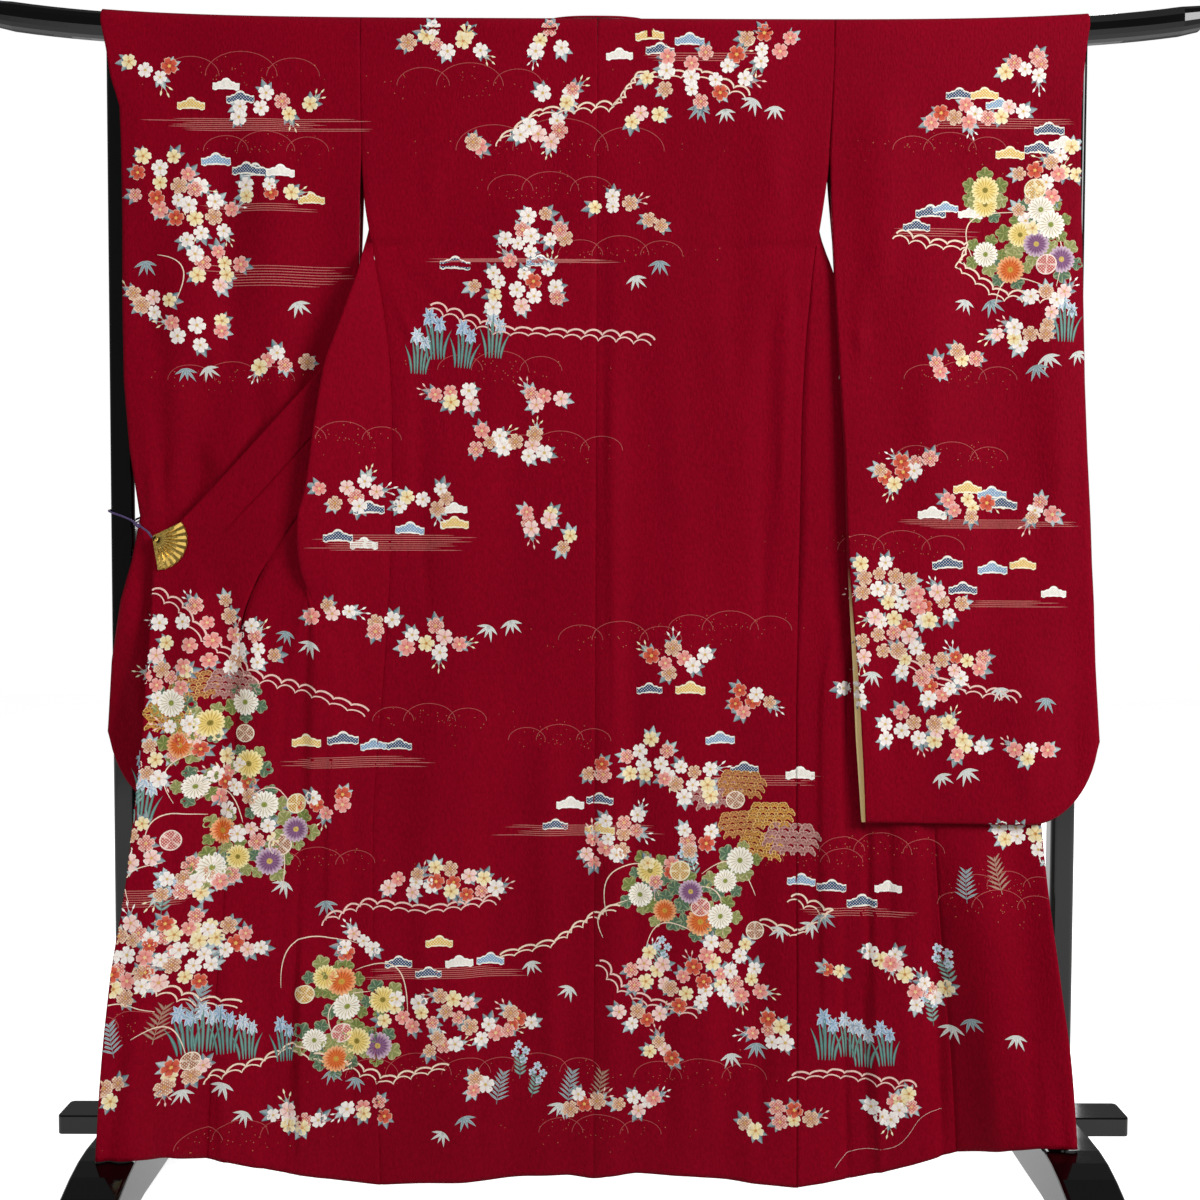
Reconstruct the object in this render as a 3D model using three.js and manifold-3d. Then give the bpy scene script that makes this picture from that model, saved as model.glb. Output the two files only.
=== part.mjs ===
// A long-sleeved furisode kimono, hung by its back on a lacquered kimono stand, with both fronts
// drawn out to the posts by fan clips. Millimetres, +Z up. X runs along the rail, and the back of the
// kimono faces -Y. The origin is on the floor, in the middle of the stand.
//
// A kimono is cut from one narrow bolt. Each body length runs from the back hem over the shoulder to
// the front hem, an okumi (overlap gore) widens each front, the collar band runs round the neck and
// down both fronts, and each sleeve is one length folded at the shoulder. Every piece here is a wall
// with its real outline, and neighbours are SEAM apart.

import * as THREE from "three";
import { mergeVertices } from "three/addons/utils/BufferGeometryUtils.js";
import Module from "manifold-3d";

// ---- driving dimensions ----
const SEAM = 0.3; // gap at every seam
const HALF_SEAM = 0.2; // at the side seam, where the two edges meet at an angle
const CLOTH = 2; // wall of lined crepe
const COLLAR_WALL = 3; // the collar band has two layers

const RAIL_TOP = 1694; // height of the rail's top at its middle
const RAIL_HALF = 845; // half of the rail's length
const RAIL_JOINT = 520; // where the rail comes apart
const RAIL_RISE = 27; // how far the ends turn up
const RAIL_BEND = 4.9; // power of that curve: straight in the middle, bent at the ends
const RAIL_HIGH = 39;
const RAIL_DEEP = 44;
const RAIL_SHAPE = 2.5; // exponent of the rounded section

const POST_IN = 652; // inner face of a post
const POST_OUT = 686;
const POST_DEEP = 36;
const POST_ROUND = 8;
const BOARD_HALF = 766; // half length of the low cross board
const BOARD_DEEP = 62;
const BOARD_TOP = 143.5;
const BOARD_THICK = 27.5;
const FOOT_IN = 611;
const FOOT_OUT = 688;

const HANG = RAIL_DEEP / 2 + 0.7 + CLOTH / 2; // how far the cloth's middle hangs from the rail's axis
const CREST = RAIL_HIGH / 2 + 0.7 + CLOTH / 2; // and how far it rides above that axis
const RAIL_AXIS = RAIL_TOP - RAIL_HIGH / 2;
const NECK_HALF = 90; // half width of the neck hole
const NECK_BACK = 0.36; // where the neck hole starts, as a share of the way over the rail
const FOLD = 2.6; // half the width of a pressed fold, wall centre to wall centre
const CORNER = 6; // how far a rounded corner of a section reaches

// ---- tables ----
// Turns rows of numbers into objects with the named columns.
const table = (names, rows) =>
  rows.map((row) => Object.fromEntries(names.split(" ").map((n, i) => [n, row[i]])));

// Horizontal sections through a front, from the shoulder to the hem, for the half on the left of the
// back view. Each section runs S (side edge) - R (ridge fold, towards -Y) - M (the layer behind it)
// - B (hidden fold, where the cloth turns out again) - O (okumi seam) - F (collar seam) - C (free
// edge), and every letter has an x away from the middle and a depth y. z is the height at S, zc the
// height at C, and hr and hb are 1 where R and B are pressed folds, 0 where they have opened out.
const FRONT_COLUMNS = "z zc sx sy rx ry mx my bx by ox oy fx fy cx cy hr hb";
const FRONT_LEFT = table(FRONT_COLUMNS, [
  [1640, 1612, 329.7, 23.4, 250, 24, 212, 24, 174, 24, 91, 24, 88.5, 25.5, 98, 31.5, 0, 0],
  [1600, 1570, 329.5, 23.4, 250, 23.4, 172, 22, 94, 21, 98, 28, 99, 29.8, 130, 31, 0, 0.3],
  [1560, 1541, 329.1, 23.2, 250, 22, 173, 20, 96, 18.5, 103, 27, 103.5, 27.5, 152, 28.5, 0, 0.8],
  [1510, 1510, 328.1, 22, 250, 20, 174, 18, 98, 16, 108, 25, 108, 25, 175, 25, 0, 1],
  [1440, 1440, 324, 8, 306, 7, 212, 7, 119, 8, 154, 18, 156, 18, 223, 14, 0, 1],
  [1386, 1386, 315.7, -19.4, 322, -13, 225, -6, 129, 0, 182, 9, 193, 9, 260, 3, 0, 1],
  [1343, 1343, 309, -25, 331, -36, 306, -17, 160, 3, 205, 7, 224, 4, 291, -8, 0.6, 1],
  [1299, 1299, 300.5, -27, 345, -44, 297, -18, 185, 4, 218, 5, 245, 2, 319, -14, 1, 1],
  [1254, 1254, 294, -29, 361, -48, 290, -19, 216, 2, 242, 2, 277, -4, 350, -24, 1, 1],
  [1212, 1212, 289.5, -30, 376, -50, 288, -20, 244, -1, 263, -1, 306, -11, 380, -29, 1, 1],
  [1137, 1137, 286.5, -32, 389, -54, 337, -38, 286, -15, 318, -17, 374, -25, 447, -33, 1, 1],
  [1037, 1037, 286, -34, 403, -58, 370, -44, 336, -30, 390, -31, 464, -35, 537, -38, 1, 1],
  [984, 984, 287, -35, 415, -60, 392, -50, 366, -40, 428, -40, 512, -41, 586, -41, 1, 1],
  [965, 946, 287.7, -35.2, 415, -60, 395, -50.5, 373, -42, 440, -41, 529, -41, 617, -41, 0.9, 0.9],
  [902, 902, 290, -36, 415, -58, 405, -52, 395, -46, 478, -43, 548, -41.5, 621, -41.5, 0.5, 0.5],
  [820, 828, 295, -37, 350, -52, 385, -60, 430, -60, 499, -50, 560, -56, 621, -58, 0, 0],
  [739, 755, 301, -39, 350, -50, 395, -60, 450, -62, 499, -54, 562, -66, 623, -74, 0, 0],
  [640, 666, 309, -42, 355, -50, 405, -60, 455, -66, 504, -62, 566, -80, 625, -93, 0, 0],
  [555, 590, 313, -45, 358, -52, 408, -62, 460, -70, 509, -70, 570, -92, 629, -110, 0, 0],
  [453, 498, 313, -49, 360, -56, 410, -66, 462, -76, 514, -78, 578, -110, 636, -128, 0, 0],
  [309, 369, 311, -54, 360, -60, 412, -70, 466, -82, 523, -90, 588, -138, 652, -155, 0, 0],
  [180, 253, 306, -57, 360, -64, 415, -75, 471, -88, 530, -98, 596, -165, 658, -178, 0, 0],
  [56, 141, 302, -59, 360, -68, 418, -80, 476, -93, 535, -105, 602, -185, 662, -190, 0, 0],
]);
const FRONT_RIGHT = table(FRONT_COLUMNS, [
  [1640, 1612, 329.7, 23.4, 250, 24, 212, 24, 174, 24, 91, 24, 88.5, 25.5, 98, 31.5, 0, 0],
  [1600, 1570, 328.3, 23.4, 250, 23.4, 172, 22, 94, 21, 98, 28, 99, 29.8, 130, 31, 0, 0.3],
  [1560, 1541, 327.3, 23.2, 250, 22, 173, 20, 96, 18.5, 103, 27, 103.5, 27.5, 152, 28.5, 0, 0.8],
  [1510, 1510, 325.1, 22, 250, 20, 174, 18, 98, 16, 108, 25, 108, 25, 175, 25, 0, 1],
  [1440, 1440, 317, 8, 300, 7, 210, 7, 119, 8, 154, 18, 156, 18, 223, 15, 0, 1],
  [1386, 1386, 309, -19.4, 315, -13, 222, -6, 129, 2, 182, 10, 193, 10, 260, 5, 0, 1],
  [1343, 1343, 303.5, -24.5, 331, -21, 300, -13, 160, 5, 205, 11, 224, 9, 291, 0, 0.6, 1],
  [1299, 1299, 299.5, -25, 348, -22, 296, -14, 185, 4, 218, 8, 245, 6, 319, -3, 1, 1],
  [1254, 1254, 295.5, -26, 364, -22, 300, -14, 216, 2, 242, 5, 277, 3, 350, -5, 1, 1],
  [1212, 1212, 293, -26, 379, -22, 310, -14, 244, 0, 263, 3, 306, 1, 380, -5, 1, 1],
  [1137, 1137, 290, -27, 392, -22, 340, -15, 286, -4, 318, -1, 374, -3, 447, -6, 1, 1],
  [1037, 1037, 289, -27.5, 405, -23, 370, -16, 336, -8, 390, -5, 464, -6, 537, -7, 1, 1],
  [984, 984, 288.5, -28, 418, -24, 392, -17, 366, -10, 428, -9, 512, -9, 586, -9, 1, 1],
  [965, 946, 288.3, -28.1, 418, -24.5, 395, -17.6, 373, -11, 440, -9, 529, -9, 616, -9, 0.9, 0.9],
  [902, 902, 287.5, -28.5, 415, -26, 405, -20, 395, -14.5, 478, -11, 545, -9.5, 619, -9.5, 0.5, 0.5],
  [820, 829, 286.5, -30, 350, -27, 400, -26, 440, -26, 481, -22, 550, -20, 620, -18, 0, 0],
  [739, 756, 285.5, -31, 335, -30, 385, -30, 432, -30, 480, -28, 552, -26, 622, -26, 0, 0],
  [640, 668, 286, -33.5, 335, -33, 385, -34, 432, -36, 479, -36, 552, -38, 623, -38, 0, 0],
  [555, 592, 286.5, -37, 335, -38, 385, -41, 432, -43, 479, -46, 554, -50, 624, -56, 0, 0],
  [453, 501, 287, -41, 335, -44, 385, -48, 434, -52, 483, -56, 560, -72, 627, -82, 0, 0],
  [309, 372, 288, -48, 338, -52, 390, -58, 442, -63, 493, -68, 580, -106, 637, -116, 0, 0],
  [180, 257, 288, -57, 340, -61, 394, -67, 448, -73, 501, -79, 596, -136, 648, -140, 0, 0],
  [56, 146, 288, -65, 343, -69, 398, -74, 452, -79, 507, -85, 606, -153, 655, -151, 0, 0],
]);
// How much of the rise from z to zc each corner has, in the lower part of the fronts.
const LIFT = { s: 0, r: 0.12, m: 0.26, b: 0.44, o: 0.66, f: 1, c: 1 };
const LIFT_FROM = 902;

// The collar's rows between the two fronts: fx and fs say where its sewn edge is (fs is the share of
// the way over the rail, past 1 it goes down the far side in units of the way over), cx and cz where
// its free edge hangs on the far side.
const NECK = table("fx fs cx cz", [
  [90, 1.02, 66, 1634],
  [88, 0.88, 55, 1643],
  [80.5, 0.716, 42, 1648],
  [56, 0.5, 28, 1652],
  [22, 0.38, 12, 1655],
]);

// The sleeves: xi and xo are the inner and outer edge, yb* the depth of the layer towards -Y and
// yf* of the far layer, at the inner (i) and outer (o) edge.
const SLEEVE_COLUMNS = "z xi xo ybi ybo yfi yfo";
const SLEEVE_LEFT = table(SLEEVE_COLUMNS, [
  [1674.5, 330, 690, -23.7, -23.7, 23.7, 23.7],
  [1640, 330, 683, -23.7, -23.7, 23.7, 23.7],
  [1600, 329.8, 677, -23.4, -23.4, 23.4, 20],
  [1560, 329.4, 664, -23.4, -24, 23.4, 8],
  [1510, 328.4, 662, -23.4, -26, 22, -21],
  [1455, 331, 662, -20, -26, 20, -21],
  [1386, 333, 662, -13, -26, 16, -20.5],
  [1299, 335.5, 663, -8, -26, 13, -20.5],
  [1189, 339, 662, -8, -26, 12, -20.5],
  [1092, 342, 655, -8, -26, 11, -20.5],
  [997, 344, 640, -8, -25, 10, -20],
  [937, 346, 653, -8, -26, 9, -20.5],
  [880, 347, 669.5, -8, -26, 8, -20.5],
  [795, 349, 683, -8, -26, 6, -20.5],
  [690, 351, 690, -9, -26, 3, -20.5],
  [579, 353, 690, -10, -26, 0, -20.5],
]);
const SLEEVE_RIGHT = table(SLEEVE_COLUMNS, [
  [1674.5, 330, 685, -23.7, -23.7, 23.7, 23.7],
  [1640, 330, 680, -23.7, -23.7, 23.7, 23.7],
  [1600, 328.6, 677, -23.4, -23.4, 23.4, 20],
  [1560, 327.6, 675, -23.4, -24, 23.4, 8],
  [1510, 325.4, 674, -23.8, -27, 22, -21.5],
  [1455, 326.4, 675, -27, -28, 2, -21.5],
  [1386, 329, 678, -33, -29, -24, -22.5],
  [1299, 334, 680, -35, -32, -27.5, -26],
  [1189, 341, 683, -38, -35, -30, -29],
  [1092, 347.5, 687, -41, -39, -33, -33],
  [997, 350.5, 692, -43, -43, -35, -37],
  [937, 353, 694, -45, -46, -37, -40],
  [880, 356, 697, -48, -49, -40, -43],
  [795, 361, 700, -51, -52, -43, -46],
  [690, 366, 704, -55, -63, -47, -57],
  [573, 374, 704, -60, -75, -53, -69],
]);
const CORNER_WIDE = 100; // the rounded outer corner at the bottom of a sleeve
const CORNER_HIGH = 140;
const CUFF_BOTTOM = 1466; // the wrist opening runs from the shoulder down to here

// The depth of the back along its middle seam, and the long soft folds in the back: each is a ridge
// (towards -Y) x from the middle, wide and deep as stated, fading in below the height from.
const BACK_MIDDLE = table("z y", [[1674.5, -23.7], [1100, -24], [400, -30], [160, -38.5], [56, -40]]);
const BACK_FOLDS = table("x wide deep from", [
  [26, 20, 5, 1500],
  [-34, 26, -2.5, 900],
  [118, 34, 5, 1250],
  [196, 30, -4, 900],
  [-112, 36, -4, 1100],
  [-190, 40, 6, 1350],
]);
// The height of the back's hem at points across it.
const BACK_HEM = table("x z", [[-302, 56], [-186, 56], [-94, 61], [-35, 62], [0, 58], [19, 62],
  [61, 67], [134, 65], [225, 57], [289, 55]]);

// Heights at which the body is cut into rows, which are also the rows of the fronts.
const ROWS = FRONT_LEFT.map((r) => r.z);
const BACK_COLUMNS = 16; // as many as a front section has
const COLLAR_COLUMNS = 8;

const CLIP = { radius: 43, plate: 1.4, open: 35, close: -88, sticks: 9 }; // a folding fan, opened
const CORD = 1.5; // the clip cord's radius
const CLIP_LEFT = { x: -613, z: 966, y: -41 };
const CLIP_RIGHT = { x: 611, z: 966, y: -9 };

// ---- small helpers ----
const V = (x, y, z) => new THREE.Vector3(x, y, z);
const mix = (a, b, t) => a + (b - a) * t;
const smooth = (t) => {
  const k = Math.min(1, Math.max(0, t));
  return k * k * (3 - 2 * k);
};

// Straight interpolation of column name in rows sorted by column by, rising or falling.
function read(rows, by, at, name) {
  const falling = rows[0][by] > rows[rows.length - 1][by];
  const list = falling ? [...rows].reverse() : rows;
  const high = list.findIndex((r) => r[by] >= at);
  if (high === 0) return list[0][name];
  if (high < 0) return list[list.length - 1][name];
  const [a, b] = [list[high - 1], list[high]];
  return mix(a[name], b[name], (at - a[by]) / (b[by] - a[by]));
}

const rise = (x) => RAIL_RISE * (Math.abs(x) / RAIL_HALF) ** RAIL_BEND;

// A point of a rounded (superelliptic) arc with half axes a and b at an angle.
function roundedArc(a, b, angle, power = RAIL_SHAPE) {
  const c = Math.cos(angle);
  const s = Math.sin(angle);
  return [
    a * Math.sign(c) * Math.abs(c) ** (2 / power),
    b * Math.sign(s) * Math.abs(s) ** (2 / power),
  ];
}

// The way over the rail as equal steps of arc length: y and z from the rail's axis.
const OVER = (() => {
  const fine = Array.from({ length: 181 }, (_, i) => {
    const [y, z] = roundedArc(-HANG, CREST, (Math.PI * i) / 180);
    return { y, z, s: 0 };
  });
  for (let i = 1; i < fine.length; i += 1) {
    const step = Math.hypot(fine[i].y - fine[i - 1].y, fine[i].z - fine[i - 1].z);
    fine[i].s = fine[i - 1].s + step;
  }
  return fine;
})();
const OVER_LENGTH = OVER[OVER.length - 1].s;
// Where pieces that lie over the rail have a row of points, close together round its two corners.
const OVER_SHARES = [0, 0.15, 0.24, 0.33, 0.5, 0.67, 0.76, 0.85, 1];

// A point of cloth hung over the rail: share 0 is where it leaves the rail towards -Y, 1 where it
// leaves it on the far side, and outside that it hangs straight. off moves it away from the rail.
function hung(x, share, off = 0) {
  const s = share * OVER_LENGTH;
  const base = RAIL_AXIS + rise(x);
  if (s <= 0) return V(x, -HANG - off, base + s);
  if (s >= OVER_LENGTH) return V(x, HANG + off, base - (s - OVER_LENGTH));
  const y = read(OVER, "s", s, "y");
  const z = read(OVER, "s", s, "z");
  return V(x, y * (1 + off / HANG), base + z * (1 + off / CREST));
}

// A closed geometry from a grid of points (rows of equal length): face 0 and face 1 are the two
// skins, joined round the edge. skin(i, j, side) gives a point of each.
function closedSheet(rows, columns, skin) {
  const positions = [];
  const index = [];
  for (const side of [0, 1])
    for (let i = 0; i < rows; i += 1)
      for (let j = 0; j < columns; j += 1) positions.push(...skin(i, j, side).toArray());
  const at = (i, j, side) => side * rows * columns + i * columns + j;
  const quad = (a, b, c, d) => index.push(a, b, c, a, c, d);
  for (let i = 0; i < rows - 1; i += 1)
    for (let j = 0; j < columns - 1; j += 1) {
      quad(at(i, j, 0), at(i, j + 1, 0), at(i + 1, j + 1, 0), at(i + 1, j, 0));
      quad(at(i, j, 1), at(i + 1, j, 1), at(i + 1, j + 1, 1), at(i, j + 1, 1));
    }
  for (let i = 0; i < rows - 1; i += 1) {
    quad(at(i, 0, 0), at(i + 1, 0, 0), at(i + 1, 0, 1), at(i, 0, 1));
    const j = columns - 1;
    quad(at(i, j, 0), at(i, j, 1), at(i + 1, j, 1), at(i + 1, j, 0));
  }
  for (let j = 0; j < columns - 1; j += 1) {
    quad(at(0, j, 0), at(0, j, 1), at(0, j + 1, 1), at(0, j + 1, 0));
    const i = rows - 1;
    quad(at(i, j, 0), at(i, j + 1, 0), at(i, j + 1, 1), at(i, j, 1));
  }
  return outward(positions, index);
}

// Turns the faces round if they point in, and makes the geometry.
function outward(positions, index) {
  let volume = 0;
  const p = (k) => V(...positions.slice(3 * k, 3 * k + 3));
  for (let i = 0; i < index.length; i += 3)
    volume += p(index[i]).dot(p(index[i + 1]).cross(p(index[i + 2])));
  const faces = volume < 0 ? index.map((_, i) => index[3 * Math.floor(i / 3) + [0, 2, 1][i % 3]]) : index;
  const geometry = new THREE.BufferGeometry();
  geometry.setAttribute("position", new THREE.Float32BufferAttribute(positions, 3));
  geometry.setIndex(faces);
  return geometry;
}

// A wall of cloth round a grid of middle points. Each row may have points before and after it that
// belong to the piece sewn on there, so that both pieces lean alike at the seam. upright(i, j) says
// where the wall's edge is kept square to Y.
function wall(grid, thick, { before = [], after = [], upright = () => false } = {}) {
  const last = grid[0].length - 1;
  const normals = grid.map((row, i) =>
    row.map((p, j) => {
      const left = j > 0 ? row[j - 1] : (before[i] ?? p);
      const right = j < last ? row[j + 1] : (after[i] ?? p);
      const up = grid[Math.max(0, i - 1)][j];
      const down = grid[Math.min(grid.length - 1, i + 1)][j];
      const across = right.clone().sub(left);
      const along = down.clone().sub(up);
      const n = across.cross(along).normalize();
      if (upright(i, j)) n.set(0, Math.sign(n.y) || 1, 0);
      return n;
    }),
  );
  const skin = (i, j, side) =>
    grid[i][j].clone().addScaledVector(normals[i][j], (side ? -thick : thick) / 2);
  return closedSheet(grid.length, last + 1, skin);
}

// ---- manifold-3d: only joins and cuts ----
const wasm = await Module();
wasm.setup();

function toSolid(geometry) {
  const bare = geometry.clone();
  bare.deleteAttribute("normal");
  bare.deleteAttribute("uv");
  const merged = mergeVertices(bare, 1e-4);
  return new wasm.Manifold(
    new wasm.Mesh({
      numProp: 3,
      vertProperties: new Float32Array(merged.attributes.position.array),
      triVerts: new Uint32Array(merged.index.array),
    }),
  );
}

function toGeometry(solid) {
  const mesh = solid.getMesh();
  const geometry = new THREE.BufferGeometry();
  geometry.setAttribute("position", new THREE.BufferAttribute(new Float32Array(mesh.vertProperties), 3));
  geometry.setIndex(new THREE.BufferAttribute(new Uint32Array(mesh.triVerts), 1));
  return geometry;
}

const box = (x0, x1, y0, y1, z0, z1) =>
  new THREE.BoxGeometry(x1 - x0, y1 - y0, z1 - z0).translate(
    (x0 + x1) / 2,
    (y0 + y1) / 2,
    (z0 + z1) / 2,
  );

// ---- the body ----
// One corner of a polygon rounded: three points from just before it to just after it.
function roundedCorner(before, at, after) {
  const back = Math.min(CORNER, before.distanceTo(at) / 2);
  const on = Math.min(CORNER, after.distanceTo(at) / 2);
  const a = at.clone().lerp(before, back / before.distanceTo(at));
  const b = at.clone().lerp(after, on / after.distanceTo(at));
  const middle = a.clone().add(b).multiplyScalar(0.25).addScaledVector(at, 0.5);
  return [a, middle, b];
}

// A section of a front as named runs of points: body (S to O), okumi (O to F, or to C below the
// collar's end) and collar (F to C).
function section(row, side, collarEnd) {
  const lift = (k) => (row.z < LIFT_FROM ? LIFT[k] : Number(k === "c"));
  const corner = (k) => V(side * row[`${k}x`], row[`${k}y`], mix(row.z, row.zc, lift(k)));
  const [s, r, m, b, o, f, c] = ["s", "r", "m", "b", "o", "f", "c"].map(corner);
  // A pressed fold has two corners, one behind the other. Where the fold has opened out they lie
  // along the cloth instead.
  const split = (at, from, to, pressed) => {
    const along = to.clone().sub(from).normalize();
    const way = V(0, pressed, 0).addScaledVector(along, 1 - pressed).normalize();
    return [at.clone().addScaledVector(way, -FOLD), at.clone().addScaledVector(way, FOLD)];
  };
  const [r1, r2] = split(r, s, m, row.hr);
  const [b1, b2] = split(b, m, o, row.hb);
  const between = (p, q, ...shares) => shares.map((t) => p.clone().lerp(q, t));
  const ridge = [...roundedCorner(s, r1, r2), ...roundedCorner(r1, r2, m).slice(1)];
  const hidden = [...roundedCorner(m, b1, b2), ...roundedCorner(b1, b2, o).slice(1)];
  const body = [s, ...between(s, ridge[0], 0.35, 0.7), ...ridge, m, ...hidden,
    ...between(hidden[4], o, 0.5), o];
  const okumi = collarEnd
    ? [o, ...between(o, f, 0.33, 0.67), f, ...between(f, c, 0.5), c]
    : [o, ...between(o, f, 0.2, 0.4, 0.6, 0.8), f];
  const steps = Array.from({ length: COLLAR_COLUMNS - 2 }, (_, i) => (i + 1) / (COLLAR_COLUMNS - 1));
  const collar = [f, ...between(f, c, ...steps), c];
  return { body, okumi, collar };
}

// The front's section at each row. The collar ends at the row END_Z.
const END_Z = 965;
const sections = (rows, side) => rows.map((r) => section(r, side, r.z <= END_Z));

// Moves the end points of a row a little along it, to leave half a seam there.
function trimmed(row, first, last) {
  const out = row.map((p) => p.clone());
  const n = out.length;
  const pull = (a, b, by) => a.addScaledVector(b.clone().sub(a).normalize(), by);
  if (first) pull(out[0], row[1], first);
  if (last) pull(out[n - 1], row[n - 2], last);
  return out;
}

// The back's depth: from the side edge to the middle, with the soft folds.
function backDepth(x, z, edgeX, edgeY) {
  const t = Math.min(1, Math.abs(x) / edgeX);
  const plain = mix(read(BACK_MIDDLE, "z", z, "y"), edgeY, t * t);
  const folds = BACK_FOLDS.map(
    (f) => f.deep * Math.exp(-(((x - f.x) / f.wide) ** 2)) * smooth((f.from - z) / 500),
  );
  const fade = smooth((edgeX - Math.abs(x)) / 40);
  return plain - fade * folds.reduce((a, b) => a + b, 0);
}

// The side seam joins back and front below the slit under the arm.
const SLIT_BOTTOM = 1386;
const sewnAtSide = (row) => row.z < SLIT_BOTTOM;

function backRow(front, side) {
  const sewn = sewnAtSide(front);
  const row = Array.from({ length: BACK_COLUMNS }, (_, j) => {
    const x = side * mix(front.sx, SEAM / 2, j / (BACK_COLUMNS - 1));
    const hem = read(BACK_HEM, "x", x, "z");
    const z = front.z + (hem - ROWS[ROWS.length - 1]) * smooth((300 - front.z) / 240);
    return V(x, backDepth(x, front.z, front.sx, sewn ? front.sy : -HANG), z);
  });
  return sewn ? trimmed(row, HALF_SEAM, 0) : row;
}

// How far out from the middle the neck hole reaches at a share of the way over the rail.
function neckEdge(share) {
  const t = Math.min(1, Math.max(0, (share - NECK_BACK) / (1 - NECK_BACK)));
  return Math.max(SEAM / 2, NECK_HALF * Math.sqrt(1 - (1 - t) ** 2));
}

// A body length is one piece of cloth from hem to hem. It is given as its back and its front, which
// meet on the rail at the shoulder line.
function body(rows, side, half) {
  const parts = sections(rows, side);
  const sewn = rows.map(sewnAtSide);
  const backs = rows.map((r) => backRow(r, side));
  const crest = OVER_SHARES.map((share) =>
    Array.from({ length: BACK_COLUMNS }, (_, j) =>
      hung(side * mix(330 - SEAM, neckEdge(share) + SEAM / 2, j / (BACK_COLUMNS - 1)), share),
    ),
  );
  const front = parts.map((p, i) => trimmed(p.body, sewn[i] ? HALF_SEAM : 0, SEAM / 2));
  const grid = [...[...backs].reverse(), ...crest, ...front];
  const turn = backs.length + crest.length;
  // At the side seam back and front lean alike, and at the okumi seam body and okumi do.
  const rowOf = (i) => (i < backs.length ? backs.length - 1 - i : i - turn);
  const isSewn = (i) => (i < backs.length || i >= turn) && sewn[rowOf(i)];
  const before = grid.map((_, i) => {
    if (!isSewn(i)) return undefined;
    return i < backs.length ? parts[rowOf(i)].body[1] : backs[rowOf(i)][1];
  });
  const after = grid.map((_, i) => (i >= turn ? parts[i - turn].okumi[1] : undefined));
  const upright = (i, j) =>
    (j === 0 && !isSewn(i) && (i < backs.length || i >= turn)) ||
    (j === BACK_COLUMNS - 1 && i < backs.length);
  const over = backs.length + OVER_SHARES.indexOf(0.5);
  const shoulder = (step) => grid[over].map((p, j) => p.clone().lerp(grid[over + step][j], HALF_SEAM / 8));
  if (half === "back") {
    const piece = [...grid.slice(0, over), shoulder(-1)];
    return wall(piece, CLOTH, { before, after, upright });
  }
  const piece = [shoulder(1), ...grid.slice(over + 1)];
  return wall(piece, CLOTH, {
    before: before.slice(over),
    after: after.slice(over),
    upright: (i, j) => upright(i + over, j),
  });
}

// The okumi starts at its point high on the front and runs to the hem. At the collar's end its edge
// steps out to the front edge.
function okumi(rows, side) {
  const list = rows.filter((r) => r.z <= 1440);
  const parts = sections(list, side);
  const end = list.findIndex((r) => r.z === END_Z);
  const step = section(list[end], side, false);
  const above = [0, 0.5, 0.97, 0.98, 0.99, 1].map((t) =>
    step.okumi[0].clone().lerp(step.okumi[5], t).add(V(0, 0, 0.6)),
  );
  const grid = parts.map((p, i) => trimmed(p.okumi, SEAM / 2, i < end ? SEAM / 2 : 0));
  grid.splice(end, 0, trimmed(above, SEAM / 2, SEAM / 2));
  const before = parts.map((p) => p.body[p.body.length - 2]);
  before.splice(end, 0, before[end].clone().add(V(0, 0, 0.6)));
  const after = parts.map((p, i) => (i < end ? p.collar[1] : undefined));
  after.splice(end, 0, undefined);
  return wall(grid, CLOTH, { before, after });
}

// The collar band, from the end on the left front, round the neck, to the end on the right front.
function collar() {
  const half = (rows, side) => {
    const parts = sections(rows, side).slice(0, rows.findIndex((r) => r.z === END_Z) + 1);
    const last = parts.length - 1;
    const front = parts.map((p) => p.collar);
    // The end is cut a little above the okumi's step.
    front[last] = front[last].map((p, j) => p.clone().lerp(front[last - 1][j], 0.09));
    const before = parts.map((p) => p.okumi[p.okumi.length - 2]);
    before[last] = parts[last].okumi[2];
    return { front, before };
  };
  const neckRow = (n, side) =>
    Array.from({ length: COLLAR_COLUMNS }, (_, j) => {
      const t = j / (COLLAR_COLUMNS - 1);
      const end = 1 + (RAIL_AXIS - n.cz) / OVER_LENGTH;
      const share = mix(n.fs, end, t);
      return hung(side * mix(n.fx, n.cx, t), share, 3.2 + 2 * smooth((share - 0.8) * 2) * t);
    });
  const left = half(FRONT_LEFT, -1);
  const right = half(FRONT_RIGHT, 1);
  const neckLeft = NECK.map((n) => neckRow(n, -1));
  const neckRight = [...NECK].reverse().map((n) => neckRow(n, 1));
  const middle = [neckRow({ fx: 0, fs: NECK_BACK, cx: 0, cz: 1656 }, 1)];
  const grid = [...[...left.front].reverse(), ...neckLeft, ...middle, ...neckRight, ...right.front];
  const none = [...neckLeft, ...middle, ...neckRight].map(() => undefined);
  const before = [...[...left.before].reverse(), ...none, ...right.before];
  return wall(grid.map((row) => trimmed(row, SEAM + 0.5, 0)), COLLAR_WALL, { before });
}

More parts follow.
